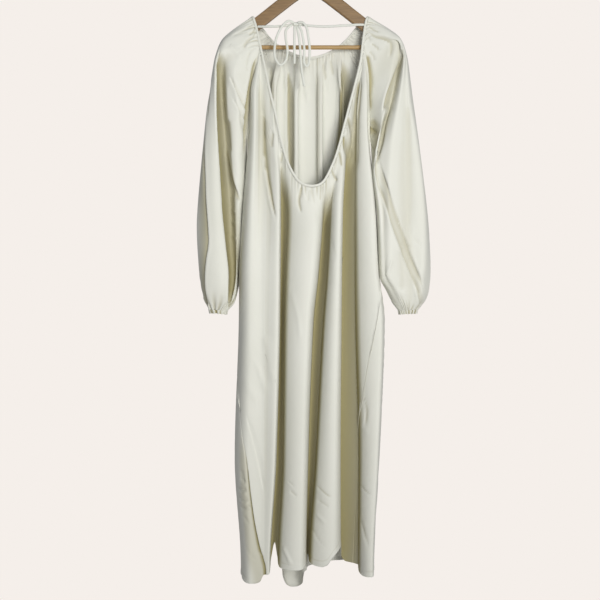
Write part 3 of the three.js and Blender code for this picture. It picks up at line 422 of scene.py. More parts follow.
left_heights, left_places = seam_places(LEFT_SEAM_X, -0.1, 1.7)
right_heights, right_places = seam_places(RIGHT_SEAM_X, 3.9, 4 + ARC_SHARE)
LEFT_SEAM = ([*left_heights, -1030, -930, UNDERARM_Z], [*left_places, -0.06, LEFT_SIDE, LEFT_SIDE])
RIGHT_SEAM = ([LEVELS[0], *right_heights, -740, UNDERARM_Z], [3.92, *right_places, 4.78, RIGHT_SIDE])
HEM_AT = (-0.14, 0.0, 0.36, 0.72, 1.0, 1.5, 1.72, 1.86, 2.0, 2.2, 2.4, 2.6, 2.86, 3.1, 3.35, 3.38, 3.42,
          3.5, 3.6, 3.68, 3.74, 3.8, 4.0, 4.12, 4.36, 4.6, 4.86, 5.36, 5.66, 5.86, 6.06, 6.36, 6.86,
          7.36, 7.86, 8.1, 8.36, 8.62, 8.86, 9.1, 9.5, 9.86)
HEM_DOWN = (-1512, -1516, -1523, -1514, -1504, -1500, -1480, -1432, -1468, -1488, -1489, -1480, -1462,
            -1477, -1482, -1468, -1456, -1446, -1441, -1450, -1476, -1484, -1488, -1502, -1508, -1506,
            -1504, -1500, -1490, -1485, -1487, -1494, -1496, -1505, -1512, -1548, -1562, -1530, -1436,
            -1490, -1515, -1512)


def hem(v):
    """The hem's height at ring positions v."""
    return through(HEM_AT, HEM_DOWN, np.mod(v - LEFT_SIDE, RING) + LEFT_SIDE)


print("the hem hangs from", max(HEM_DOWN), "down to", min(HEM_DOWN), "mm")

# %% [markdown]
# ## The neck edge
# The neck is one closed line: a deep scoop in front, over each shoulder, and a shallow curve behind. A
# narrow bias binding covers it, and the cloth hangs from just below that binding. Raglan seams run from
# the neck's four corners to the underarms, and both a panel and its sleeve follow them.

# %% The neck edge
LEFT_CORNER, RIGHT_CORNER = [-120, -20, -230], [128, -19, -222]
RIGHT_BACK, LEFT_BACK = [88, 27, -203], [-92, 27, -204]
SCOOP = [[-111, -24, -272], [-98, -31, -334], [-82, -37, -400], [-70, -41, -458], [-49, -47, -522],
         [-25, -51, -558], [3, -53, -568], [28, -52, -561], [54, -47, -516], [70, -42, -470],
         [83, -37, -420], [96, -32, -370], [112, -27, -309], [123, -23, -262]]
RIGHT_SHOULDER = [[132, -15, -190], [135.5, -10.5, -168], [139.2, -9, -154.6], [141, 0, -150],
                  [138.2, 8.6, -151.6], [131, 11.2, -158], [116, 18, -172]]
BACK_NECK = [[52, 30, -229], [0, 31, -244], [-50, 30, -231]]
LEFT_SHOULDER = [[-118, 18, -174], [-130, 11.2, -158], [-137.2, 8.6, -151.6], [-140, 0, -150],
                 [-138.2, -9, -154.6], [-134, -10.5, -168], [-128, -15, -192]]
NECK = np.array([LEFT_CORNER, *SCOOP, RIGHT_CORNER, *RIGHT_SHOULDER, RIGHT_BACK, *BACK_NECK, LEFT_BACK,
                 *LEFT_SHOULDER], float)
CORNERS = {"leftFront": 0, "rightFront": len(SCOOP) + 1,
           "rightBack": len(SCOOP) + len(RIGHT_SHOULDER) + 2,
           "leftBack": len(SCOOP) + len(RIGHT_SHOULDER) + len(BACK_NECK) + 3}
BINDING_REACH = 3.4
OPENING_MIDDLE = np.array([0, 0, -175.0])


def neck(index):
    """The neck line at index, counted in its points."""
    return curve(NECK, np.mod(index, len(NECK)), closed=True)


def under_binding(index):
    """The cloth's edge: the neck line moved outwards to lie beneath the binding."""
    here = neck(index)
    along = unit(neck(index + 0.02) - neck(index - 0.02))
    away = (here - OPENING_MIDDLE) * [1, 0, 1]
    away = unit(away - along * (away * along).sum(-1, keepdims=True))
    return here + BINDING_REACH * away


def neck_stretch(start, end, share):
    """Places along the neck line from start to end, by share of that stretch's length."""
    fine = np.linspace(start, end, 400)
    lengths = run_of(neck(fine))
    return np.interp(np.clip(share, 0, 1) * lengths[-1], lengths, fine)


print("neck all round:", round(run_of(neck(np.linspace(0, len(NECK), 2001)))[-1]), "mm")

# %% The raglan seams
LEFT_UNDERARM, RIGHT_UNDERARM = [-154, 0, UNDERARM_Z], [147, 0, UNDERARM_Z]
RAGLANS = {
    "leftFront": [LEFT_CORNER, [-135, -15, -290], [-146, -8, -360], LEFT_UNDERARM],
    "rightFront": [RIGHT_CORNER, [141, -15, -285], [145, -8, -360], RIGHT_UNDERARM],
    "leftBack": [LEFT_BACK, [-122, 27, -270], [-144, 18, -360], LEFT_UNDERARM],
    "rightBack": [RIGHT_BACK, [118, 27, -270], [139, 18, -360], RIGHT_UNDERARM],
}
SEAM_GAP = 0.5


def raglan(name, share, towards):
    """The seam's points by share of the way down, towards the body (-1) or the sleeve (1)."""
    points = np.array(RAGLANS[name], float)
    share = np.clip(np.asarray(share, float), 0, 1)
    line = curve(points, share * (len(points) - 1))
    start = (under_binding(np.array([CORNERS[name]], float)) - points[0]) * ((1 - share) ** 3)[..., None]
    return line + start + np.array([np.sign(points[0, 0]) * towards * SEAM_GAP / 2, 0, 0])


for name in RAGLANS:
    print(name, "raglan seam:", round(run_of(raglan(name, np.linspace(0, 1, 101), 1))[-1]), "mm")

# %% [markdown]
# ## The front and the back
# A gathered panel is one flat cloth drawn up along its neck edge. Its folds begin as many small gathers
# under the binding and run together into a few flutes within a hand's width, so each point starts at the
# neck edge and settles into the ring of flutes below. Cloth simulation would need a fine mesh and many
# minutes for the same folds and give others each time a size changes; a surface laid out from given sizes
# stays where the real folds are.

# %% The edge that the body hangs from
FRONT = {"flutes": range(0, FRONT_COUNT), "low": LEFT_SIDE, "low_corner": 0.15, "high_corner": 4.5,
         "high": RIGHT_SIDE, "raglans": ("leftFront", "rightFront")}
BACK = {"flutes": range(FRONT_COUNT, RING), "low": RIGHT_SIDE, "low_corner": 5.2, "high_corner": 9.45,
        "high": RING + LEFT_SIDE, "raglans": ("rightBack", "leftBack")}


def panel_edge(side, v):
    """A panel's upper edge at ring positions v: raglan seam, neck edge, raglan seam."""
    low, high = side["low_corner"], side["high_corner"]
    places, shares = [low], [0]
    for flute in side["flutes"]:
        for place, share in zip((flute, flute + ARC_SHARE), FLUTES[flute][0]):
            if low < place < high:
                places.append(place)
                shares.append(share)
    share = through([*places, high], [*shares, 1], v)
    stretch = neck_stretch(*(CORNERS[name] for name in side["raglans"]), share)
    points = under_binding(stretch)
    down = (low - v) / (low - side["low"])
    points = np.where((v <= low)[:, None], raglan(side["raglans"][0], down, -1), points)
    down = (v - high) / (side["high"] - high)
    return np.where((v >= high)[:, None], raglan(side["raglans"][1], down, -1), points)


RING_FINE = np.linspace(LEFT_SIDE, RING + LEFT_SIDE, 12001)
EDGE_FINE = np.vstack([panel_edge(FRONT, RING_FINE[RING_FINE <= FRONT["high"]]),
                       panel_edge(BACK, RING_FINE[RING_FINE > FRONT["high"]])])
EDGE_ALONG = run_of(EDGE_FINE)
print("cloth edge all round:", round(EDGE_ALONG[-1]), "mm")


def edge_at(v):
    """The body's upper edge at ring positions v, and how far along that edge they are."""
    wrapped = np.mod(v - LEFT_SIDE, RING) + LEFT_SIDE
    points = np.stack([np.interp(wrapped, RING_FINE, EDGE_FINE[:, k]) for k in range(3)], -1)
    return points, np.interp(wrapped, RING_FINE, EDGE_ALONG)


# %% [markdown]
# ## The grid of a panel
# On the real dress the side seams aren't straight: they swing with the cloth, low on the left towards the
# front and low on the right towards the front too, so a panel's columns must follow them. The grid has its
# points where they are needed, close together at the gathers, at the creases near the hem and at the seams.
# Subdividing the whole cloth evenly would do as well, with several times the faces.

# %% A panel's grid
SETTLE = 110  # how far below its edge the cloth has settled into the ring
MEASURE_V = np.linspace(-0.5, RING + 2, 16001)
MEASURE = sum(np.concatenate([[0], np.cumsum(np.hypot(*(np.diff(c) for c in ring(MEASURE_V, z)[:2])))])
              for z in (-640, -1000, -1400)) / 3


def body_point(v, z):
    """The cloth at ring positions v and heights z, and how far below its edge it is."""
    top, along = edge_at(v)
    x, y, deep = ring(v, z)
    down = top[..., 2] - z
    share = smooth(down / SETTLE)
    points = np.stack([lerp(top[..., 0], x, share), lerp(top[..., 1], y, share), z], -1)
    return points, down, along, deep * share


ROWS_AT = (0, 0.12, 0.3, 0.7, 0.77, 0.88, 0.93, 1)
ROW_STEP = (1.0, 1.4, 3.0, 3.0, 1.2, 1.2, 2.0, 2.0)


def row_places(rows):
    """Shares of the way down a panel, closer together at its gathers and at the creases near its hem."""
    fine = np.linspace(0, 1, 2001)
    total = np.cumsum(1 / np.interp(fine, ROWS_AT, ROW_STEP))
    return np.interp(np.linspace(total[0], total[-1], rows), total, fine)


def column_places(columns):
    """Shares of the way across a panel: columns lie closer together at its two seams."""
    fine = np.linspace(0, 1, 2001)
    total = np.cumsum(1 + 1.8 * np.exp(-((np.minimum(fine, 1 - fine) / 0.03) ** 2)))
    return np.interp(np.linspace(total[0], total[-1], columns), total, fine)


def panel_grid(seams, rows, columns):
    """Ring positions and heights of a panel's points."""
    t = row_places(rows)[:, None]
    u = column_places(columns)
    ends = [through(*line, lerp(UNDERARM_Z, hem(line[1][0]), t[:, 0])) + turn for line, turn in seams]
    low_m, high_m = (np.interp(end, MEASURE_V, MEASURE)[:, None] for end in ends)
    low_top, high_top = low_m[0], high_m[0]
    along = lerp(low_top, high_top, u) + (low_m - low_top) * (1 - u) ** 3 + (high_m - high_top) * u**3
    v = np.interp(along, MEASURE, MEASURE_V)
    top = edge_at(v[0])[0][:, 2]
    z = lerp(top, hem(v[-1]), t)
    return v, z


# %% [markdown]
# ## Gathers and long folds
# Drawn-up cloth shows two kinds of relief: small grooves that leave the gathering thread and die out within a
# few centimetres, and the long folds, laps and creases that it falls into. Sculpting or a cloth simulation
# could give both. Here each is a height laid over the grid: grooves at uneven random places along the edge,
# and folds along given lines, so each lies where the real one does and is moved by editing one line.

# %% Folds laid on a cloth
rng = np.random.default_rng(11)


def gather_list(start, end, pitch, height, reach):
    """Small grooves along an edge: place, half width, depth and reach down the cloth, all uneven."""
    folds, place = [], start
    while place < end:
        folds.append((place, pitch * rng.uniform(0.14, 0.26), height * rng.uniform(0.3, 1.2),
                      reach * rng.uniform(0.4, 1.5)))
        place += pitch * rng.uniform(0.55, 1.5)
    return folds


def gathered(folds, along, down, steady=2.6):
    """How far the cloth sinks, and how deep in shade it lies, in small grooves down from its edge."""
    lift, shade = np.zeros(along.shape), np.zeros(along.shape)
    for place, width, depth, reach in folds:
        near = np.abs(along - place) < 5 * width
        a, d = along[near] - place, np.maximum(down[near], 0)
        groove = np.exp(-((a / width / (1 + 0.7 * d / reach)) ** 2)) * np.exp(-((d / reach) ** 1.6))
        lift[near] -= depth * (groove - 0.3 * np.exp(-((d / reach) ** 1.6)) * np.exp(-((a / width / 3) ** 2)))
        shade[near] = np.maximum(shade[near], groove * min(1, depth / steady) * 0.55)
    return lift, shade


gather = gathered([(0, 2, 3, 30)], np.zeros((1, 1)), np.zeros((1, 1)))
print("a 3 mm gather sinks", round(-float(gather[0][0, 0]), 2), "mm at the edge")

# %% Folds along given lines
STEEP = 2.4  # how far a lap's edge takes to drop
PROUD = 0.16  # how far a lap's edge stands up, as a share of its drop
FADE = 0.14  # the share of a fold's line over which each of its ends dies out


def relief(folds, x, z):
    """How far the cloth stands out along its folds, and how deep in shade it lies there.

    A fold is its shape, height and shade, and then its line from the upper end, as x, z and width. A "ridge"
    stands up, or sinks where its height is negative. A "lap" is an edge that stands over a hollow on its
    right, seen from the front, and a "left lap" has the hollow on its left.
    """
    lift, shade = np.zeros(x.shape), np.zeros(x.shape)
    for shape, height, dark, line in folds:
        line = np.array(line, float)
        path = curve(line, np.linspace(0, len(line) - 1, 10 * (len(line) - 1) + 1))
        reach = 2.5 * line[:, 2].max() + 5
        near = ((x > path[:, 0].min() - reach) & (x < path[:, 0].max() + reach)
                & (z > path[:, 1].min() - reach) & (z < path[:, 1].max() + reach))
        gap = np.stack([x[near], z[near]], -1)[:, None] - path[:, :2]
        nearest = (gap**2).sum(-1).argmin(1)
        gap = gap[np.arange(len(nearest)), nearest]
        along = unit(np.gradient(path[:, :2], axis=0))[nearest]
        side = along[:, 0] * gap[:, 1] - along[:, 1] * gap[:, 0]
        width = np.maximum(path[nearest, 2], 0.5)
        t = nearest / (len(path) - 1)
        ends = smooth(t / FADE) * smooth((1 - t) / FADE)
        if shape == "ridge":
            profile = np.exp(-((side / width) ** 2)) * ends
            lift[near] += height * profile
        else:
            side = side if shape == "lap" else -side
            profile = smooth(side / STEEP) * np.clip(1 - side / width, 0, 1) * ends
            lift[near] += height * (PROUD * np.exp(-(((side + 2.5) / 3.5) ** 2)) * ends - profile)
            profile = smooth(side / STEEP) * np.clip(1.1 - side / width, 0, 1) ** 0.6 * ends
        shade[near] = np.maximum(shade[near], dark * np.clip(profile, 0, 1))
    return lift, shade


def mirrored(folds, share=0.8):
    """The same folds for a hidden side: left and right changed over, and a little lower."""
    other = {"ridge": "ridge", "lap": "left lap", "left lap": "lap"}
    return [(other[shape], height * share, dark * share, [(-x, z, width) for x, z, width in line])
            for shape, height, dark, line in folds]


ridge = relief([("ridge", 2, 0, [(0, 0, 5), (0, -100, 5)])], np.zeros(1), np.full(1, -50.0))
print("a 2 mm ridge stands", round(float(ridge[0][0]), 2), "mm at its middle")

# %% [markdown]
# ## One cloth, two faces
# Crepe is thin, but its other side shows at the neck, the hem and the cuffs, so a single face won't do.
# Blender's Solidify modifier could add the second one. The shell is built here instead, so that the inner
# face, which is seen less closely, can leave out every second row and stay behind the creases. A value on
# each point says how deep in a fold it lies, and the finish darkens the cloth there as painted shade.

# %% Outer and inner faces
WALL = 1.2
INNER_SKIP = 2  # the inner face has one row for this many of the outer one
CREST_SHADE = 0.12
INSIDE_SHADE = 0.1
VALLEY_DEEP = 14  # a place this far behind the surface around it takes the full shade
BLUR = 12


def outward_normals(grid, round_it, outward=None):
    """Normals that point out of the garment: along outward, or away from a tube's middle."""
    normals = normals_of(grid, round_it)
    out = grid - grid.mean(axis=1, keepdims=True) if outward is None else np.array(outward)
    return normals if (normals * out).sum(-1).mean() > 0 else -normals


def painted_valley_shade(grid, normals):
    """Painted shade, 0 on a tube's crests to 1 deep in its valleys, from how far the surface around lies
    outside each point.
    """
    mean = grid
    count = grid.shape[1]
    for _ in range(2):
        wide = np.cumsum(np.pad(mean, [(0, 0), (BLUR, BLUR), (0, 0)], mode="wrap"), axis=1)
        mean = (wide[:, 2 * BLUR:count + 2 * BLUR] - wide[:, :count]) / (2 * BLUR)
    return np.clip(((mean - grid) * normals).sum(-1) / VALLEY_DEEP + CREST_SHADE, 0, 1)


def inner_face(grid, normals, wall):
    """A face with fewer rows than the outer one, and behind all of its creases."""
    skip = INNER_SKIP
    coarse = grid[::skip]
    place = np.arange(len(grid)) / skip
    k = np.minimum(place.astype(int), len(coarse) - 2)
    straight = lerp(coarse[k], coarse[k + 1], (place - k)[:, None, None])
    sunk = np.maximum(0, ((straight - grid) * normals).sum(-1))
    need = np.stack([sunk[max(0, (j - 1) * skip):(j + 1) * skip + 1].max(0) for j in range(len(coarse))])
    return coarse - normals[::skip] * (wall / 2 + np.minimum(need, 3))[..., None]


# %% A cloth shell
def shell(name, grid, round_it, replaces, hollow, wall=WALL, inside=INSIDE_SHADE, outward=None):
    """A thin closed cloth on a grid: its outer face, a coarser inner face and the rims between them."""
    skip = INNER_SKIP
    normals = outward_normals(grid, round_it, outward)
    rows, columns = grid.shape[:2]
    inner = inner_face(grid, normals, wall)
    points = np.concatenate([(grid + normals * wall / 2).reshape(-1, 3), inner.reshape(-1, 3)])
    start = rows * columns
    a, b, c = grid[0, 0], grid[0, 1], grid[1, 0]
    turned = (np.cross(b - a, c - a) * normals[0, 0]).sum() < 0
    faces = grid_faces(rows, columns, round_it, flip=turned).tolist()
    faces += grid_faces(len(inner), columns, round_it, start, flip=not turned).tolist()
    step = np.arange(columns if round_it else columns - 1)
    beside = (step + 1) % columns
    for row, inner_row, flip in ((0, 0, turned), (rows - 1, len(inner) - 1, not turned)):
        across = start + inner_row * columns
        rim = np.stack([row * columns + step, row * columns + beside, across + beside, across + step], -1)
        faces += (rim[:, ::-1] if flip else rim).tolist()
    if not round_it:
        for column, flip in ((0, not turned), (columns - 1, turned)):
            for k in range(len(inner) - 1):
                down = [(k * skip + m) * columns + column for m in range(skip + 1)]
                rim = [*down, start + (k + 1) * columns + column, start + k * columns + column]
                faces.append(rim[::-1] if flip else rim)
    obj = piece(name, points, faces, replaces)
    # the hollow attribute holds each point's painted shade, on the outer and on the inner face
    inside = np.broadcast_to(inside, hollow.shape)[::skip]
    values = np.concatenate([hollow.ravel(), inside.ravel()]).astype(np.float32)
    obj.data.attributes.new("hollow", "FLOAT", "POINT").data.foreach_set("value", values)
    print(name, "has", len(obj.data.polygons), "faces")
    return obj


# %% [markdown]
# ## The folds of the front and the back
# The real front is pulled up at the scoop's sides, so it has laps and puckers there, shallow creases where it
# was folded, and small crumples above the hem. Each line of these tables is one of them. The back has a few
# of its own, and those that show through the scoop are on its inner side.

# %% The folds of the front and the back
# Each fold's third value is its painted shade, the darkening in its groove or under its lap.
FRONT_FOLDS = [
    ("ridge", -3.5, 0.6, [(-20, -566, 3), (-24, -585, 4), (-27, -605, 4), (-21, -636, 2)]),
    ("ridge", -1.8, 0.25, [(-3, -576, 3), (-5, -606, 4)]),
    ("ridge", -2.2, 0.35, [(24, -570, 3), (26, -604, 4)]),
    ("ridge", -3.6, 0.6, [(50, -522, 2.5), (56, -538, 3), (65, -558, 3)]),
    ("ridge", -5.0, 0.8, [(122, -296, 4), (118, -341, 6), (113, -389, 7), (110, -436, 8), (108, -484, 9),
                          (106, -536, 9)]),
    ("ridge", -5.5, 1.0, [(82, -444, 3), (85, -466, 5.5), (90, -494, 4)]),
    ("ridge", -4.5, 0.8, [(88, -398, 3), (94, -408, 4), (102, -432, 4)]),
    ("ridge", 3.6, 0.0, [(88, -426, 3), (95, -450, 4.5), (98, -484, 3)]),
    ("ridge", -3.5, 0.7, [(70, -484, 3), (74, -500, 4), (77, -522, 3)]),
    ("ridge", -2.5, 0.4, [(96, -462, 3), (99, -492, 3)]),
    ("ridge", 3.0, 0.0, [(-94, -419, 5), (-109, -438, 7)]),
    ("ridge", -3.0, 0.5, [(-90, -436, 3), (-94, -474, 4)]),
    ("ridge", -3.0, 0.4, [(-66, -482, 3), (-71, -510, 3)]),
    ("lap", 9, 0.85, [(-115, -372, 4), (-118, -422, 14), (-117, -470, 15), (-111, -518, 14), (-103, -566, 11),
                      (-94, -614, 8), (-82, -655, 4)]),
    ("ridge", 1.6, 0.0, [(-112, -925, 8), (-100, -968, 10), (-92, -1040, 8)]),
    ("ridge", 1.4, 0.0, [(-130, -990, 7), (-118, -1030, 7), (-104, -1069, 7)]),
    ("ridge", 1.2, 0.0, [(-152, -1045, 8), (-128, -1085, 8)]),
    ("ridge", -3.0, 0.4, [(-176, -1296, 3), (-166, -1301, 4), (-152, -1297, 3)]),
    ("ridge", -2.6, 0.4, [(-174, -1318, 3), (-162, -1325, 4), (-147, -1322, 3)]),
    ("ridge", -3.0, 0.45, [(-172, -1340, 3), (-158, -1343, 4), (-141, -1337, 3)]),
    ("ridge", -1.8, 0.4, [(-160, -1362, 3), (-146, -1380, 4)]),
    ("ridge", 2.2, 0.0, [(-170, -1307, 4), (-152, -1309, 4)]),
    ("ridge", 2.0, 0.0, [(-168, -1329, 4), (-149, -1331, 4)]),
    ("ridge", -2.2, 0.35, [(-168, -1272, 3), (-157, -1278, 3)]),
    ("ridge", -1.6, 0.3, [(-166, -1250, 4), (-158, -1284, 5)]),
    ("lap", 1.6, 0.2, [(-156, -1440, 4), (-140, -1462, 6), (-128, -1470, 4)]),
    ("lap", 1.8, 0.12, [(-156, -1120, 5), (-142, -1170, 14), (-124, -1246, 12), (-112, -1310, 6)]),
    ("lap", 3.4, 0.5, [(13, -1290, 5), (31, -1307, 8), (50, -1318, 5)]),
    ("ridge", -2.0, 0.3, [(18, -1323, 3), (44, -1337, 3)]),
    ("ridge", 2.2, 0.0, [(14, -1355, 3), (37, -1378, 3)]),
    ("lap", 2.6, 0.3, [(0, -1390, 6), (22, -1424, 6), (38, -1436, 4)]),
    ("lap", 3.6, 0.55, [(120, -1290, 5), (131, -1304, 6), (146, -1312, 4)]),
    ("lap", 3.0, 0.35, [(120, -1370, 6), (127, -1406, 10), (139, -1436, 5)]),
    ("ridge", 1.8, 0.0, [(122, -1140, 3), (141, -1162, 3)]),
    ("lap", 3.0, 0.45, [(127, -1072, 3), (132, -1108, 10), (130, -1148, 7)]),
    ("lap", 2.2, 0.35, [(-56, -1277, 3), (-46, -1286, 5), (-37, -1293, 3)]),
    ("ridge", -1.8, 0.3, [(-48, -1299, 3), (-33, -1312, 3)]),
    ("ridge", 2.6, 0.0, [(-64, -1436, 4), (-45, -1476, 4)]),
    ("ridge", 1.2, 0.0, [(-46, -820, 4), (-30, -880, 5), (-24, -940, 4)]),
    ("ridge", -1.0, 0.1, [(52, -700, 3), (60, -742, 4)]),
]
# The back is seen through the scoop too, where its hollows show as laps towards the viewer. The wide lap
# along the scoop's right side is mostly a painted shadow: the one that the front's edge casts on the back.
BACK_INSIDE_FOLDS = [
    ("lap", 9, 0.8, [(-58, -262, 4), (-57, -330, 17), (-57, -420, 19), (-54, -520, 16), (-52, -640, 8)]),
    ("ridge", -1.2, 0.3, [(17, -258, 5), (20, -330, 9), (21, -420, 10), (20, -520, 10), (18, -620, 8)]),
    ("lap", 7, 0.9, [(78, -236, 8), (73, -310, 34), (69, -400, 36), (60, -480, 34), (38, -545, 30),
                     (12, -575, 20)]),
    ("ridge", -2.4, 0.35, [(32, -250, 3), (36, -276, 5), (40, -302, 4)]),
    ("ridge", -2.4, 0.35, [(49, -244, 3), (54, -268, 5), (58, -292, 4)]),
    ("ridge", -2.2, 0.3, [(-20, -250, 3), (-22, -284, 5)]),
    ("ridge", -2.4, 0.4, [(-98, -262, 4), (-95, -310, 7), (-92, -370, 5)]),
]
BACK_FOLDS = [
    ("ridge", -3.0, 0.4, [(-64, -236, 3), (-60, -280, 5), (-58, -330, 3)]),
    ("ridge", -3.4, 0.5, [(-10, -250, 3), (-12, -300, 6), (-6, -352, 4)]),
    ("ridge", -2.8, 0.4, [(44, -240, 3), (40, -290, 5), (44, -336, 3)]),
    ("lap", 2.0, 0.2, [(-150, -820, 6), (-132, -884, 10), (-112, -960, 6)]),
    ("left lap", 1.8, 0.2, [(70, -1010, 6), (54, -1064, 9), (46, -1120, 5)]),
    ("lap", 2.2, 0.3, [(-40, -1290, 5), (-24, -1310, 7), (-2, -1322, 5)]),
    ("ridge", 1.4, 0.0, [(130, -900, 4), (112, -960, 5), (104, -1016, 4)]),
    ("ridge", -1.4, 0.2, [(6, -760, 4), (-10, -820, 5)]),
]


# %% [markdown]
# ## The seams and the hem of a panel
# A side seam sinks a little between its two cloths. Low on the left the back lies under the front, and on the
# right the seam's allowance is pressed forwards and shows as a narrow band. The hem is turned up and
# stitched. Extra layers of cloth could model the allowances, but all that shows of them is a step of a
# millimetre or two, so they are steps and grooves in the one cloth.

# %% The front and the back panels
SEAM_TUCK = 1.1  # how far a seam sinks
SEAM_HALF = 1.6  # half the width of a seam's groove
SEAM_SHADE_HALF = 1.8  # and of the shade in it
SEAM_CLEAR = 8  # folds die out this near to a seam
SEAM_START = 20  # a seam's groove begins over this length below the binding
HEM_DEEP = 14  # the turned-up hem
HEM_PROUD = 0.5  # how far the turned-up hem stands out
STITCH = 0.6  # the groove of its stitches
UNDERLAP = 5  # at the left side seam the back lies this much lower than the front
UNDERLAP_WIDTH = 22
UNDERLAP_TOP = -1120  # it begins at this height
UNDERLAP_FADE = 120  # and is full this much lower
BAND_WIDTH = 11  # the right side seam's allowance, pressed towards the front, shows as a band
BAND_HIGH = 1.8
BAND_TOP = -850
BAND_END = -1150


def from_ends(grid):
    """How far each point lies along its row from the row's two ends."""
    steps = np.linalg.norm(np.diff(grid, axis=1), axis=-1)
    low = np.concatenate([np.zeros((len(grid), 1)), np.cumsum(steps, axis=1)], axis=1)
    return low, low[:, -1:] - low


def panel(side, seams, rows, columns, gathers, inside_folds, facing, left_end, band=0.0):
    """A panel's points, and the painted shade on its outer and on its inner face, from how deep in a fold
    each lies.
    """
    v, z = panel_grid(seams, rows, columns)
    grid, down, along, deep = body_point(v, z)
    outward = outward_normals(grid, False, (0, facing, 0))
    start = np.interp(side["low_corner"], RING_FINE, EDGE_ALONG)
    lift, shade = gathered(gathers, along - start, down)
    inside_lift, inside_shade = relief(inside_folds, grid[..., 0], z)
    inside = np.maximum(INSIDE_SHADE, np.maximum(shade, inside_shade))
    lift = lift - np.clip(outward[..., 1] * facing * 2, 0, 1) * inside_lift
    for folds, way in ((FRONT_FOLDS, -1), (BACK_FOLDS, 1)):
        seen = np.clip(outward[..., 1] * way * 2, 0, 1)
        fold_lift, fold_shade = relief(folds, grid[..., 0], z)
        lift, shade = lift + seen * fold_lift, np.maximum(shade, seen * fold_shade)
    low, high = from_ends(grid)
    seam = np.minimum(low, high)
    below = smooth(down / SEAM_START)
    clear = smooth(seam / SEAM_CLEAR)
    lift = lift * clear - SEAM_TUCK * np.exp(-((seam / SEAM_HALF) ** 2)) * below
    # painted shade in the seam's groove
    shade = np.maximum(shade * clear, 0.5 * np.exp(-((seam / SEAM_SHADE_HALF) ** 2)) * below)
    if left_end is not None:
        left = (low, high)[left_end]
        low_part = smooth((UNDERLAP_TOP - z) / UNDERLAP_FADE)
        lift = lift - UNDERLAP * low_part * np.clip(1 - left / UNDERLAP_WIDTH, 0, 1) ** 1.5
        # painted shade where the back lies under the front at the seam, and a lighter one across the strip
        # beside it
        under = np.maximum(np.clip(1.3 - left / 13, 0, 1), 0.42 * smooth(2 - left / 30))
        shade = np.maximum(shade, low_part * under)
    stretch = smooth((BAND_TOP - z) / 60) * smooth((z - BAND_END) / 40)
    lift = lift + band * stretch * smooth((high - 1.5) / 1.5) * smooth((BAND_WIDTH - high) / 1.5)
    # painted shade along the band's inner edge and in the seam beside it
    band_shade = band / BAND_HIGH * stretch
    shade = np.maximum(shade, band_shade * 0.5 * np.exp(-(((high - BAND_WIDTH - 1) / 1.8) ** 2)))
    shade = np.maximum(shade, band_shade * np.exp(-((high / 2) ** 2)))
    up = z - z[-1]
    stitches = np.exp(-(((up - HEM_DEEP) / 1.2) ** 2))
    lift = lift + HEM_PROUD * smooth((HEM_DEEP + 1 - up) / 2) - STITCH * stitches
    # painted shade in the groove of the hem's stitches
    shade = np.maximum(shade, 0.3 * stitches)
    return grid + outward * lift[..., None], np.maximum(deep, shade), inside


def neck_length(side):
    """How long a panel's part of the neck edge is."""
    return np.ptp(np.interp([side["low_corner"], side["high_corner"]], RING_FINE, EDGE_ALONG))


# %% The cloths of the front and the back
GATHER_MARGIN = 8  # no gather lies nearer than this to a panel's corner
FRONT_ROWS, FRONT_COLUMNS = 221, 297
BACK_ROWS, BACK_COLUMNS = 197, 320

left_seam, right_seam = (LEFT_SEAM, 0), (RIGHT_SEAM, 0)
front_gathers = gather_list(GATHER_MARGIN, neck_length(FRONT) - GATHER_MARGIN, pitch=9, height=3.4, reach=32)
front_grid, front_painted_shade, _ = panel(FRONT, (left_seam, right_seam), FRONT_ROWS, FRONT_COLUMNS, front_gathers,
                                  inside_folds=[], facing=-1, left_end=None, band=BAND_HIGH)
back_gathers = gather_list(GATHER_MARGIN, neck_length(BACK) - GATHER_MARGIN, pitch=8, height=2.4, reach=30)
back_grid, back_painted_shade, back_inside_painted_shade = panel(
    BACK, (right_seam, (LEFT_SEAM, RING)), BACK_ROWS, BACK_COLUMNS, back_gathers,
    inside_folds=BACK_INSIDE_FOLDS, facing=1, left_end=1)
front = shell("dress_front", front_grid, False, ["front_panel"], hollow=front_painted_shade, outward=(0, -1, 0))
back = shell("dress_back", back_grid, False, ["back_panel"], hollow=back_painted_shade, inside=back_inside_painted_shade,
             outward=(0, 1, 0))
print("gathers in front:", len(front_gathers), "and behind:", len(back_gathers))

# %% [markdown]
# ## The sleeves
# A balloon sleeve is a wide cloth tube, gathered into the neck above and into an elastic cuff below, and
# seamed to the body along its raglan. It hangs from the hanger's arm as a flattened, tilted balloon, so
# it is swept through tilted sections whose ends follow the sleeve's outline, with its long folds drawn
# across them as lines that run down through the sections.

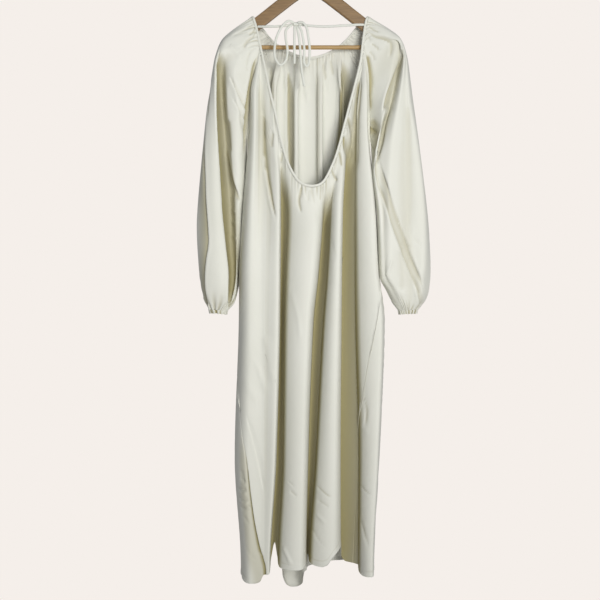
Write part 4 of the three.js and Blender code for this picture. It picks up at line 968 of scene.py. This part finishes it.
# %% The sleeves' sections
# name: inner end x, z, outer end x, z, front depth, back depth, lead of the inner end
RIGHT_SLEEVE = [
    (128, -330, 142, -150, 22, 22, 0), (140, -370, 192, -178, 32, 28, 0), (146, -410, 221, -202, 38, 32, 0),
    (150, -451, 236, -240, 40, 34, -10), (151.5, -537, 252, -353, 42, 36, -24),
    (163, -636, 272, -500, 42, 38, -24), (166.5, -732, 291, -672, 42, 40, -24),
    (168.5, -782, 295, -764, 42, 40, -20), (186, -819, 291, -818, 38, 36, -8),
    (203, -850, 279, -850, 28, 26, 0), (217, -868, 263, -866, 17, 17, 0),
]
LEFT_SLEEVE = [
    (120, -330, 141, -150, 22, 22, 0), (142, -370, 190, -182, 32, 28, 0), (150, -410, 217, -208, 38, 32, 0),
    (156, -451, 232, -248, 40, 34, 8), (155, -537, 248, -353, 42, 36, 26),
    (164.6, -636, 265, -500, 42, 38, 24), (168.5, -722, 277, -662, 42, 38, 24),
    (172, -783, 273, -750, 40, 38, 20), (179, -826, 267, -811, 34, 34, 8),
    (186, -850, 258, -847, 26, 26, 0), (203, -868, 247, -865, 16, 17, 0),
]
TIP_SECTION = 3  # the section where the tube closes under the arm
MEASURED_SECTIONS = (3.5, 5.5, 7.5)
EDGE_WEIGHT = 1.5  # how much a place's run along the upper edge counts beside its run round a section
FOLD_SECTIONS = (1, 2, 3, 4, 5, 6, 7, 8, 10)
# Each long fold: its place across the section, then how far forward it stands, at each fold section.
LEFT_FOLDS = [
    ((-0.5, -0.5, -0.61, -0.74, -0.88, -0.93, -0.94, -0.94, -0.9),
     (0.9, 0.9, 0.88, 0.85, 0.7, 0.5, 0.4, 0.4, 0.5)),
    ((0, 0.1, 0.1, -0.22, -0.63, -0.77, -0.82, -0.86, -0.7),
     (1, 0.9, 0.78, 0.75, 0.7, 0.6, 0.5, 0.5, 0.75)),
    ((0.3, 0.5, 0.56, 0.15, -0.35, -0.52, -0.64, -0.7, -0.5),
     (0.9, 0.75, 0.35, 0.1, 0.1, 0.15, 0.2, 0.3, 0.85)),
    ((0.55, 0.72, 0.8, 0.53, 0.17, -0.24, -0.41, -0.48, -0.3),
     (0.85, 0.9, 1, 1, 1, 1, 1, 1, 1)),
    ((0.85, 0.9, 0.94, 0.93, 0.86, 0.55, 0.6, 0.66, 0.7),
     (0.6, 0.6, 0.65, 0.7, 0.75, 0.85, 0.85, 0.85, 0.75)),
]
RIGHT_FOLDS = [
    ((-0.5, -0.5, -0.4, -0.93, -0.92, -0.93, -0.93, -0.9, -0.85),
     (0.9, 0.95, 1, 0.55, 0.5, 0.5, 0.5, 0.5, 0.5)),
    ((0.6, 0.76, 0.35, -0.8, -0.75, -0.8, -0.8, -0.72, -0.6),
     (0.8, 0.6, 0.4, 0.45, 0.62, 0.7, 0.72, 0.75, 0.8)),
    ((0.75, 0.86, 0.75, -0.1, -0.46, -0.52, -0.6, -0.5, -0.3),
     (0.8, 0.8, 0.95, 1, 1, 1, 1, 1, 1)),
    ((0.85, 0.92, 0.86, 0.55, 0.24, 0.15, 0.24, 0.1, 0.1),
     (0.7, 0.75, 0.8, 0.86, 0.82, 0.84, 0.84, 0.85, 0.95)),
    ((0.93, 0.96, 0.94, 0.85, 0.87, 0.78, 0.7, 0.6, 0.7),
     (0.5, 0.55, 0.6, 0.75, 0.7, 0.8, 0.85, 0.85, 0.8)),
]
BACK_FOLD = {"place": 0.05, "width": 0.28, "depth": 0.45, "from": 2.5, "to": 9}


def spline(points, t):
    """The uniform Catmull-Rom curve through a list of x, y columns, at t from 0 to 1."""
    count = len(points)
    place = np.clip(t, 0, 1) * (count - 1)
    i = np.minimum(np.floor(place).astype(int), count - 2)
    s = (place - i)[..., None]
    rows = np.arange(t.size)
    stack = np.stack(points)
    p0, p1, p2, p3 = (stack[np.clip(i + k, 0, count - 1), rows] for k in (-1, 0, 1, 2))
    return hermite(s, p1, p2, (p2 - p0) / 2, (p3 - p1) / 2)


def front_section(folds, q, w):
    """The sleeve's section in front: place across it and share of its depth."""
    ones = np.ones(q.shape)
    lines = [np.stack([through(FOLD_SECTIONS, place, w), through(FOLD_SECTIONS, depth, w)], -1)
             for place, depth in folds]
    ends = [np.stack([side * ones, 0 * ones], -1) for side in (-1, 1)]
    return spline([ends[0], *lines, ends[1]], q / 2)


def back_section(q, w):
    """The same behind, with one long fold."""
    c, s = -np.cos(np.pi * q / 2), -np.sin(np.pi * q / 2)
    across = np.sign(c) * np.abs(c) ** 0.85
    way = (w - BACK_FOLD["from"]) / (BACK_FOLD["to"] - BACK_FOLD["from"])
    strength = smooth(way / 0.18) * smooth((1 - way) / 0.18)
    away = (across - BACK_FOLD["place"]) / BACK_FOLD["width"]
    fold = BACK_FOLD["depth"] * strength * np.exp(-(away**2))
    return np.stack([across, np.maximum(0, s) ** 0.85 * (1 - fold)], -1)


def sleeve_point(table, folds, side, q, w):
    """The sleeve's points round it at q and down it at section w."""
    shape = q.shape
    q, w = q.ravel(), w.ravel()
    inner_x, inner_z, outer_x, outer_z, ahead, behind, lead = (
        through(np.arange(len(table)), [row[k] for row in table], w) for k in range(7))
    front_part = (q <= 2)[:, None]
    section = np.where(front_part, front_section(folds, np.minimum(q, 2), w), back_section(q, w))
    t = (section[:, 0] + 1) / 2
    y = section[:, 1] * np.where(q <= 2, -ahead, behind) + lead * (1 - t) ** 3
    return np.stack([side * lerp(inner_x, outer_x, t), y, lerp(inner_z, outer_z, t)], -1).reshape(*shape, 3)


# %% A sleeve's upper edge and grid
def sleeve_edge(side, q):
    """Round the sleeve's top at q: raglan seam, neck edge over the shoulder, raglan seam."""
    names = ("rightFront", "rightBack") if side > 0 else ("leftFront", "leftBack")
    first = CORNERS["rightFront"] if side > 0 else len(NECK)
    points = under_binding(neck_stretch(first, CORNERS[names[1]], (q - 1) / 2))
    points = np.where((q <= 1)[:, None], raglan(names[0], 1 - q, 1), points)
    return np.where((q >= 3)[:, None], raglan(names[1], q - 3, 1), points)


def even_places(table, folds, side, columns):
    """Places round a sleeve that lie evenly along its cloth."""
    fine = np.linspace(0, 4, 4001)
    length = 0
    for w in MEASURED_SECTIONS:
        length = length + run_of(sleeve_point(table, folds, side, fine, np.full(fine.shape, w)))
    length = length + EDGE_WEIGHT * run_of(sleeve_edge(side, fine))
    return np.interp(np.linspace(0, length[-1], columns + 1)[:-1], length, fine)


SETTLE_SECTIONS = 1.1  # how many sections down a sleeve has settled into its tube
SEAM_HOLD = 11  # the seam holds a sleeve's own folds flat this near to it
RAGLAN_HALF = 1.8  # half the width of a raglan seam's groove


def sleeve(table, folds, side, rows, columns, gathers, placed, cuff_gathers):
    """A sleeve's points, and the painted shade of each, from how deep in a fold it lies."""
    q = even_places(table, folds, side, columns)
    near, far = 1 - q, q - 3
    start = TIP_SECTION * np.maximum(0, np.maximum(near, far)) ** 1.2
    r = np.linspace(0, 1, rows)[:, None]
    w = lerp(start, len(table) - 1, 0.8 * r + 0.2 * r**2)
    places = np.broadcast_to(q, w.shape)
    edge = sleeve_edge(side, q)
    body = sleeve_point(table, folds, side, places, w)
    grid = lerp(edge, body, smooth((w - start) / SETTLE_SECTIONS)[..., None])
    normals = outward_normals(grid, True)
    along = run_of(edge)
    along = along - np.interp(1, q, along)
    steps = np.linalg.norm(np.diff(grid, axis=0), axis=-1)
    down = np.concatenate([np.zeros((1, columns)), np.cumsum(steps, axis=0)])
    lift, shade = gathered(gathers, np.broadcast_to(along, down.shape), down)
    round_it = np.broadcast_to(np.arange(columns) / columns * 100, down.shape)
    cuff_lift, cuff_shade = gathered(cuff_gathers, round_it, down[-1] - down)
    lift, shade = lift + cuff_lift, np.maximum(shade, cuff_shade)
    for list_of_folds, way in ((placed[0], -1), (placed[1], 1)):
        seen = np.clip(normals[..., 1] * way * 4 + 0.4, 0, 1)
        fold_lift, fold_shade = relief(list_of_folds, grid[..., 0], grid[..., 2])
        held = 1 - np.exp(-((down / SEAM_HOLD) ** 2))
        lift, shade = lift + seen * held * fold_lift, np.maximum(shade, seen * fold_shade)
    raglan_part = np.where((q <= 1) | (q >= 3), 1, 0)
    lift = lift - SEAM_TUCK * np.exp(-((down / RAGLAN_HALF) ** 2)) * raglan_part
    shade = np.maximum(shade, painted_valley_shade(grid, normals))
    return grid + normals * lift[..., None], shade


def cuff_folds():
    """The grooves that elastic draws up, as shares of a hundred round the cuff."""
    return [(place, 0.9, rng.uniform(2.6, 5.6), rng.uniform(14, 46))
            for place in np.arange(2, 99, 3.6) + rng.uniform(-0.7, 0.7, 27)]


# %% [markdown]
# ## The sleeves' own folds
# A balloon sleeve that hangs limp creases along its length, and its cloth laps over itself where it is
# fullest and under the arm. The two sleeves of the real dress fall differently, so each has a table of its
# own. Their backs take the other sleeve's folds, mirrored and a little lower.

# %% The sleeves' own folds
# Each fold's third value is its painted shade; the widest laps paint the shade in the valleys and under the
# arms.
LEFT_PLACED = [
    ("lap", 8, 1.0, [(-218, -225, 8), (-226, -257, 20), (-227, -310, 24), (-227, -383, 26), (-224, -455, 28),
                     (-218, -552, 34), (-213, -637, 38), (-206, -705, 36), (-199, -775, 42), (-200, -838, 36),
                     (-204, -930, 14)]),
    ("left lap", 6, 0.75, [(-206, -466, 6), (-196, -511, 16), (-184, -557, 22), (-165, -606, 18)]),
    ("ridge", -2.0, 0.6, [(-199, -400, 5), (-196, -443, 6), (-194, -489, 4)]),
    ("left lap", 5, 0.8, [(-250, -400, 5), (-255, -479, 8), (-253, -540, 14), (-251, -601, 20),
                          (-246, -673, 26), (-245, -705, 26), (-252, -751, 20), (-255, -806, 16),
                          (-246, -870, 14), (-240, -930, 10)]),
    ("lap", 3.5, 0.3, [(-198, -300, 6), (-180, -339, 14), (-153, -392, 9)]),
    ("lap", 2.8, 0.25, [(-191, -354, 5), (-172, -385, 10), (-154, -420, 8)]),
    ("ridge", -1.8, 0.25, [(-170, -385, 4), (-165, -419, 5), (-155, -454, 4)]),
    ("ridge", 1.6, 0.0, [(-202, -606, 3), (-183, -632, 3)]),
    ("ridge", 1.5, 0.0, [(-197, -640, 3), (-186, -661, 3)]),
    ("ridge", 1.6, 0.0, [(-200, -674, 3), (-181, -699, 3)]),
    ("lap", 9, 1.0, [(-130, -244, 3), (-141, -270, 9), (-147, -300, 12), (-155, -345, 13), (-160, -390, 12),
                    (-163, -440, 8), (-165, -500, 5)]),
    ("left lap", 4.5, 0.5, [(-127, -184, 4), (-137, -204, 7), (-150, -216, 9), (-160, -237, 7)]),
    ("ridge", -2.6, 0.45, [(-131, -176, 2.5), (-140, -190, 3), (-150, -199, 2)]),
    ("ridge", -2.0, 0.35, [(-132, -166, 2.5), (-148, -176, 3), (-160, -184, 2)]),
    ("left lap", 2.6, 0.3, [(-126, -233, 3), (-138, -236, 6), (-147, -250, 7), (-151, -275, 6),
                            (-150, -296, 3)]),
    ("ridge", -2.4, 0.4, [(-124, -242, 3), (-131, -266, 5), (-137, -298, 4)]),
    ("ridge", -1.6, 0.2, [(-190, -199, 4), (-170, -194, 5), (-148, -190, 4)]),
    ("ridge", 2.6, 0.0, [(-196, -224, 6), (-164, -256, 8)]),
    ("lap", 3.0, 0.6, [(-244, -300, 4), (-248, -350, 6), (-252, -405, 5)]),
]
RIGHT_PLACED = [
    ("lap", 5.5, 0.6, [(138, -188, 5), (155, -205, 9), (177, -212, 12), (192, -221, 13), (193, -238, 10),
                      (188, -256, 4)]),
    ("ridge", -2.6, 0.45, [(142, -174, 2.5), (154, -184, 3), (168, -192, 2)]),
    ("ridge", -2.6, 0.45, [(148, -218, 2.5), (160, -226, 3), (171, -238, 2)]),
    ("ridge", -2.2, 0.35, [(143, -236, 2.5), (152, -246, 3), (158, -262, 2)]),
    ("ridge", -2.2, 0.3, [(140, -204, 2.5), (148, -212, 3)]),
    ("lap", 8, 0.7, [(224, -221, 4), (215, -261, 12), (196, -310, 20), (181, -351, 24), (172, -390, 24)]),
    ("left lap", 6, 0.6, [(198, -372, 10), (184, -431, 18), (177, -467, 14), (166, -496, 8)]),
    ("ridge", -6, 0.9, [(138, -240, 4), (143, -266, 6), (147, -305, 7), (145, -346, 6), (147, -390, 5)]),
    ("left lap", 4, 0.95, [(146, -412, 6), (155, -426, 18), (163, -436, 16)]),
    ("left lap", 3, 0.8, [(149, -463, 5), (165, -489, 10)]),
    ("ridge", -3.0, 0.7, [(148, -396, 4), (157, -420, 11), (161, -450, 13), (160, -484, 11), (157, -520, 5)]),
    ("lap", 4, 0.5, [(156, -548, 8), (169, -584, 14), (184, -630, 18), (194, -661, 18), (208, -697, 20),
                     (220, -727, 22), (235, -765, 20), (257, -820, 14), (272, -860, 8)]),
    ("left lap", 5, 0.55, [(166, -495, 6), (179, -540, 14), (191, -576, 16), (203, -615, 18), (215, -649, 18),
                          (225, -673, 18), (235, -702, 20), (244, -731, 20), (256, -760, 18), (270, -794, 12),
                          (281, -824, 6)]),
    ("lap", 3.6, 0.5, [(218, -703, 5), (230, -711, 12), (244, -719, 6)]),
    ("ridge", 1.6, 0.0, [(245, -728, 2.5), (231, -758, 2.5)]),
    ("lap", 2.0, 0.2, [(236, -686, 6), (254, -703, 12), (272, -720, 6)]),
    ("ridge", -4.5, 0.3, [(237, -340, 9), (238, -479, 12), (238, -601, 14), (235, -690, 9)]),
    ("lap", 3.0, 0.4, [(255, -816, 6), (261, -838, 18), (269, -860, 12)]),
    ("ridge", -3.0, 0.25, [(218, -718, 10), (225, -770, 14), (223, -826, 12)]),
    ("ridge", 1.6, 0.0, [(198, -744, 3), (184, -786, 4)]),
]

# %% The cloths of the sleeves
SLEEVE_ROWS, SLEEVE_COLUMNS = 201, 300

sleeves, sleeve_grids = {}, {}
for name, table, folds, side, placed in (
        ("left", LEFT_SLEEVE, LEFT_FOLDS, -1, (LEFT_PLACED, mirrored(RIGHT_PLACED))),
        ("right", RIGHT_SLEEVE, RIGHT_FOLDS, 1, (RIGHT_PLACED, mirrored(LEFT_PLACED)))):
    gathers = gather_list(6, 225, pitch=10, height=3.4, reach=30)
    grid, deep = sleeve(table, folds, side, SLEEVE_ROWS, SLEEVE_COLUMNS, gathers, placed, cuff_folds())
    sleeve_grids[name] = grid
    sleeves[name] = shell(f"dress_sleeve_{name}", grid, True, [f"sleeve_{name}"], hollow=deep)

# %% [markdown]
# ## The cuffs
# Each sleeve ends in a narrow casing with elastic in it, so its cloth is drawn up into small pleats all
# round a short ring. The pleats are ripples round the ring, deeper at its lower edge, where the cloth is
# free and the ring narrows.

# %% The cuffs
CUFF_DROP = 9
CUFF_WALL = 2.2
CUFF_NARROWS = 0.16  # the share by which a cuff narrows towards its lower edge
WIDE_PLEATS, SMALL_PLEATS = 19, 31  # two sets of ripples, whose sum is as uneven as drawn-up cloth


def cuff(table, folds, side, columns=240, rows=17):
    """A cuff's points, and the painted shade of each, deepest in its pleats and towards its lower edge."""
    q = np.linspace(0, 4, columns + 1)[:-1]
    ring_points = sleeve_point(table, folds, side, q, np.full(q.shape, len(table) - 1.0))
    middle = ring_points.mean(axis=0)
    step = np.linspace(0, 1, rows)[:, None]
    turn = q * np.pi / 2
    pleats = 0.6 * np.sin(turn * WIDE_PLEATS + 2.4 * np.sin(2 * turn)) + 0.5 * np.sin(turn * SMALL_PLEATS + 1)
    size = 1 - CUFF_NARROWS * step**1.4 + (0.05 + 0.06 * step) * pleats
    grid = middle + (ring_points - middle) * size[..., None]
    grid[..., 2] = ring_points[:, 2] - 0.2 - CUFF_DROP * step - 1.6 * pleats * step
    return grid, np.clip(0.55 - 0.9 * pleats + 0.25 * step, 0, 1)


for name, table, folds, side in (("left", LEFT_SLEEVE, LEFT_FOLDS, -1),
                                 ("right", RIGHT_SLEEVE, RIGHT_FOLDS, 1)):
    grid, deep = cuff(table, folds, side)
    shell(f"dress_cuff_{name}", grid, True, [f"cuff_{name}"], wall=CUFF_WALL, hollow=deep)

# %% [markdown]
# ## The bound neck edge
# The binding is a bias strip folded over the raw edge and stitched down. Bias cloth curves without darts
# but puckers a little over gathers, so it is a narrow tube, taller than it is thick, with shallow uneven
# waves.

# %% The binding
BINDING_TALL = 6.0
BINDING_THICK = 4.4


def binding(step=2.2, sides=14):
    """The tube of the binding, all round the neck line."""
    path = even(NECK, step, closed=True)[:-1]
    along = unit(np.roll(path, -1, axis=0) - np.roll(path, 1, axis=0))
    away = (path - OPENING_MIDDLE) * [1, 0, 1]
    tall = unit(away - along * (away * along).sum(-1, keepdims=True))
    thick = np.cross(along, tall)
    places = np.arange(len(path)) * step
    angle = 2 * np.pi * np.arange(sides) / sides
    wave = np.zeros(len(path))
    for pitch, size in ((9.3, 0.28), (13.7, 0.3), (21.1, 0.22)):
        wave += size * np.sin(2 * np.pi * places / pitch + rng.uniform(0, 6.28))
    upward, forward = (np.abs(part) ** 0.8 * np.sign(part) for part in (np.cos(angle), np.sin(angle)))
    wave, upward, forward = wave[:, None, None], upward[None, :, None], forward[None, :, None]
    rings = path[:, None] + wave * thick[:, None] * 0.7
    rings = rings + tall[:, None] * (BINDING_TALL / 2 * upward) * (1 + 0.06 * wave)
    rings = rings + thick[:, None] * (BINDING_THICK / 2 * forward) * (1 + 0.12 * wave)
    faces = grid_faces(len(path), sides, True)
    closing = [[(len(path) - 1) * sides + k, (len(path) - 1) * sides + (k + 1) % sides, (k + 1) % sides, k]
               for k in range(sides)]
    faces = np.concatenate([faces, closing])
    print("binding:", round(len(path) * step), "mm all round")
    return piece("dress_neck_binding", rings, faces, ["neck_binding"])


binding_piece = binding()

# %% [markdown]
# ## The cut of each cloth
# A gathered cloth is cut wider than it hangs. A cut's area is smaller than the product of the widest row of
# its lower half and its longest column, because a neck is cut out of it and it narrows upwards. A sleeve's
# width is all round its tube.


# %% [markdown]
# ## Finishes
# A finish is a small net of nodes. One function turns the colour codes that people quote, which are sRGB,
# into the linear values that Blender wants, and one adds a node with its settings and links.

# %% Colour and nodes
def linear(code):
    """A hex colour code as linear red, green, blue and an alpha of 1."""
    parts = [int(code[k:k + 2], 16) / 255 for k in (1, 3, 5)]
    return (*[c / 12.92 if c <= 0.04045 else ((c + 0.055) / 1.055) ** 2.4 for c in parts], 1.0)


def add(tree, kind, inputs=None, **settings):
    """A node of one kind: inputs by name or number, each a value or another node's output."""
    made = tree.nodes.new(kind)
    for key, value in settings.items():
        setattr(made, key, value)
    for key, value in (inputs or {}).items():
        if isinstance(value, bpy.types.NodeSocket):
            tree.links.new(value, made.inputs[key])
        else:
            made.inputs[key].default_value = value
    return made


def finish_named(name):
    """An empty material and its node tree."""
    material = bpy.data.materials.new(name)
    material.use_nodes = True
    material.node_tree.nodes.clear()
    return material, material.node_tree


print("half grey, sRGB to linear:", round(linear("#808080")[0], 3))

# %% [markdown]
# ## Ivory crepe
# The dress is a light viscose crepe, woven from hard-twisted yarn, which gives it a fine pebbled face and
# a soft gleam without a hard highlight. Deep in a fold ivory cloth lies in its own shade and looks warmer, as
# light bounces between its sides, so the valleys take a painted shade, a warmer and darker tone. The yarns
# lie
# 0.25 mm apart, too fine to show at this distance, so the pebbles are drawn 1.1 mm wide.

# %% Ivory crepe
MOTTLE_MM = 160
RIPPLE_MM = 22


def crepe(name, light, dark, deep, pebble_mm, gleam):
    """Woven crepe: a mottled tone, a painted shade in the valleys, pebbles and soft ripples."""
    material, tree = finish_named(name)
    place = add(tree, "ShaderNodeTexCoord").outputs["Object"]
    hollow = add(tree, "ShaderNodeAttribute", attribute_name="hollow").outputs["Fac"]
    mottle = add(tree, "ShaderNodeTexNoise", {
        "Vector": place, "Scale": 1 / (MOTTLE_MM * MM), "Detail": 3.0}).outputs["Fac"]
    cloth = add(tree, "ShaderNodeMix", {0: mottle, 6: linear(light), 7: linear(dark)}, data_type="RGBA")
    # painted shade: the cloth turns towards the deep colour as far into a fold as the hollow attribute says
    painted_shade = add(tree, "ShaderNodeMapRange", {
        "Value": hollow, "From Min": CREST_SHADE, "From Max": 1.0}).outputs["Result"]
    colour = add(tree, "ShaderNodeMix", {0: painted_shade, 6: cloth.outputs[2], 7: linear(deep)}, data_type="RGBA")
    pebble = add(tree, "ShaderNodeTexNoise", {"Vector": place, "Scale": 1 / (pebble_mm * MM), "Detail": 2.0,
                                              "Roughness": 0.6}).outputs["Fac"]
    ripple = add(tree, "ShaderNodeTexNoise", {
        "Vector": place, "Scale": 1 / (RIPPLE_MM * MM), "Detail": 2.0}).outputs["Fac"]
    fine = add(tree, "ShaderNodeBump", {"Strength": 0.18, "Distance": 0.0004, "Height": pebble})
    bump = add(tree, "ShaderNodeBump", {"Strength": 0.25, "Distance": 0.002, "Height": ripple,
                                        "Normal": fine.outputs["Normal"]})
    roughness = add(tree, "ShaderNodeMapRange", {"Value": pebble, "To Min": gleam, "To Max": gleam + 0.12})
    shader = add(tree, "ShaderNodeBsdfPrincipled", {
        "Base Color": colour.outputs[2], "Roughness": roughness.outputs["Result"],
        "Normal": bump.outputs["Normal"], "Sheen Weight": 0.12, "Sheen Roughness": 0.4,
        "Specular IOR Level": 0.35})
    add(tree, "ShaderNodeOutputMaterial", {"Surface": shader.outputs[0]})
    return material


# The last colour of each crepe is the painted shade that its deepest valleys take.
ivory_crepe = crepe("ivory_crepe_woven", "#ebebe4", "#e3e3d9", "#9f9668", 1.1, 0.52)
tie_crepe = crepe("ivory_crepe_rouleau", "#e9ebe5", "#e1e2d9", "#a0986a", 1.1, 0.5)
print("made", ivory_crepe.name, "and", tie_crepe.name)

# %% [markdown]
# ## Wood and steel
# The hanger's arms are sawn from one board of beech, stained mid-brown and lacquered, so their grain runs
# along the arms as fine darker streaks under a satin coat. The bar is turned from paler wood. The hook is
# steel wire, bent and plated, bright with faint drawing lines along it.

# %% Lacquered wood
PORE_MM = 0.6


def wood(name, pale, dark, streak_mm, coat):
    """Sawn or turned wood: streaks along the grain under a clear coat."""
    material, tree = finish_named(name)
    place = add(tree, "ShaderNodeTexCoord").outputs["Object"]
    along = add(tree, "ShaderNodeMapping", {"Vector": place, "Scale": (0.06, 1.0, 1.0)}).outputs["Vector"]
    grain = add(tree, "ShaderNodeTexNoise", {"Vector": along, "Scale": 1 / (streak_mm * MM), "Detail": 5.0,
                                             "Roughness": 0.65, "Distortion": 0.4}).outputs["Fac"]
    pores = add(tree, "ShaderNodeTexNoise", {
        "Vector": along, "Scale": 1 / (PORE_MM * MM), "Detail": 2.0}).outputs["Fac"]
    share = add(tree, "ShaderNodeMapRange", {
        "Value": grain, "From Min": 0.3, "From Max": 0.7}).outputs["Result"]
    colour = add(tree, "ShaderNodeMix", {0: share, 6: linear(pale), 7: linear(dark)}, data_type="RGBA")
    bump = add(tree, "ShaderNodeBump", {"Strength": 0.12, "Distance": 0.0003, "Height": pores})
    roughness = add(tree, "ShaderNodeMapRange", {"Value": grain, "To Min": 0.38, "To Max": 0.52})
    shader = add(tree, "ShaderNodeBsdfPrincipled", {
        "Base Color": colour.outputs[2], "Roughness": roughness.outputs["Result"],
        "Normal": bump.outputs["Normal"], "Coat Weight": coat, "Coat Roughness": 0.25})
    add(tree, "ShaderNodeOutputMaterial", {"Surface": shader.outputs[0]})
    return material


# %% Plated steel
DRAWN_MM = 1.5


def plated_steel():
    """Drawn wire under bright nickel, with faint streaks in its gloss."""
    material, tree = finish_named("nickel_plated_steel_wire")
    place = add(tree, "ShaderNodeTexCoord").outputs["Object"]
    streak = add(tree, "ShaderNodeTexNoise", {
        "Vector": place, "Scale": 1 / (DRAWN_MM * MM), "Detail": 3.0}).outputs["Fac"]
    roughness = add(tree, "ShaderNodeMapRange", {"Value": streak, "To Min": 0.2, "To Max": 0.34})
    shader = add(tree, "ShaderNodeBsdfPrincipled", {
        "Base Color": linear("#c2c3c4"), "Metallic": 1.0, "Roughness": roughness.outputs["Result"]})
    add(tree, "ShaderNodeOutputMaterial", {"Surface": shader.outputs[0]})
    return material


arm_wood = wood("stained_beech_lacquered", "#9c7b50", "#765b3a", 2.4, 0.35)
bar_wood = wood("turned_beech_waxed", "#caa876", "#aa8752", 2.0, 0.1)
hook_steel = plated_steel()
print("made", arm_wood.name + ",", bar_wood.name, "and", hook_steel.name)

# %% [markdown]
# ## Finishes on their pieces
# Every cloth of a real dress is cut from one bolt, so all the panels, the cuffs and the binding share one
# finish. The tie is the same crepe pulled tight round itself, with a little more gleam. The hanger's three
# parts keep the frame's own shapes and only get their finish.

# %% Finishes on their pieces
def dress_in(material, *objects):
    """Give each piece its one finish."""
    for obj in objects:
        obj.data.materials.clear()
        obj.data.materials.append(material)


dress_in(arm_wood, frame["nodes"]["hanger_frame"])
dress_in(bar_wood, frame["nodes"]["hanger_bar"])
dress_in(hook_steel, frame["nodes"]["hanger_hook"])
dress_in(tie_crepe, knot_piece, *cords.values())
cloth_pieces = [o for o in bpy.data.objects if o.name.startswith("dress_")]
dress_in(ivory_crepe, *cloth_pieces)
print("cloth pieces:", sorted(o.name for o in cloth_pieces))

# %% [markdown]
# ## Light and stage
# A pale gown is lit softly, or its folds turn harsh: one large window-like light from the front right
# shapes them, and an even pale surround fills the shadows. A dome that only the camera sees stands for
# the studio's pale wall, and a plain floor lies well below the hem.

# %% Light and stage
def area_light(name, place, aim, size, watts, colour):
    """A rectangular light at a place, turned towards its aim."""
    data = bpy.data.lights.new(name, "AREA")
    data.shape, data.size, data.size_y = "RECTANGLE", *size
    data.energy, data.color = watts, linear(colour)[:3]
    data.spread = math.radians(72)
    light = bpy.data.objects.new(name, data)
    light.location = place
    toward = np.array(aim) - np.array(place)
    light.rotation_euler = (math.atan2(math.hypot(toward[0], toward[1]), -toward[2]), 0,
                            math.atan2(-toward[0], toward[1]))
    bpy.context.scene.collection.objects.link(light)
    print(name, "light:", watts, "W")


area_light("key", (1.15, -3.6, -0.5), (-0.04, 0, -0.52), (1.2, 1.4), 16.4, "#fdfcf8")

world = bpy.data.worlds.new("studio")
world.use_nodes = True
world.node_tree.nodes["Background"].inputs["Color"].default_value = linear("#f1f3f4")
world.node_tree.nodes["Background"].inputs["Strength"].default_value = 0.36
bpy.context.scene.world = world
bpy.context.scene.view_settings.view_transform = "Standard"


# %% The floor and the wall
FLOOR_Z = -2.2
FLOOR_RADIUS = 2.4
WALL_RADIUS = 12
STAGE_TURNS = 64
WALL_ROWS = 24


def stage_piece(name, verts, faces, material):
    """A piece of the stage, which is no part of the garment."""
    mesh = bpy.data.meshes.new(name)
    mesh.from_pydata(verts, [], faces)
    mesh.materials.append(material)
    obj = bpy.data.objects.new(name, mesh)
    bpy.context.scene.collection.objects.link(obj)
    return obj


def painted(name, code):
    """Matt wall paint."""
    material, tree = finish_named(name)
    shader = add(tree, "ShaderNodeBsdfPrincipled", {"Base Color": linear(code), "Roughness": 0.9})
    add(tree, "ShaderNodeOutputMaterial", {"Surface": shader.outputs[0]})
    return material


def wall_light():
    """An even glow, like a pale wall that is lit all over."""
    material, tree = finish_named("studio_wall")
    glow = add(tree, "ShaderNodeEmission", {"Color": linear("#f5efea"), "Strength": 1.0})
    add(tree, "ShaderNodeOutputMaterial", {"Surface": glow.outputs[0]})
    return material


turns = 2 * np.pi * np.arange(STAGE_TURNS) / STAGE_TURNS
disc = [(FLOOR_RADIUS * math.cos(a), FLOOR_RADIUS * math.sin(a), FLOOR_Z) for a in turns]
stage_piece("studio_floor", disc, [list(range(STAGE_TURNS))], painted("floor_paint_matt", "#efe9e4"))

tilt, turn = np.meshgrid(np.linspace(0.01, np.pi - 0.01, WALL_ROWS), turns, indexing="ij")
ball = np.stack([np.sin(tilt) * np.cos(turn), np.sin(tilt) * np.sin(turn), np.cos(tilt)], -1) * WALL_RADIUS
ball_faces = grid_faces(WALL_ROWS, STAGE_TURNS, True).tolist()
wall = stage_piece("studio_wall", ball.reshape(-1, 3).tolist(), ball_faces, wall_light())
wall.visible_diffuse = wall.visible_glossy = wall.visible_transmission = wall.visible_shadow = False
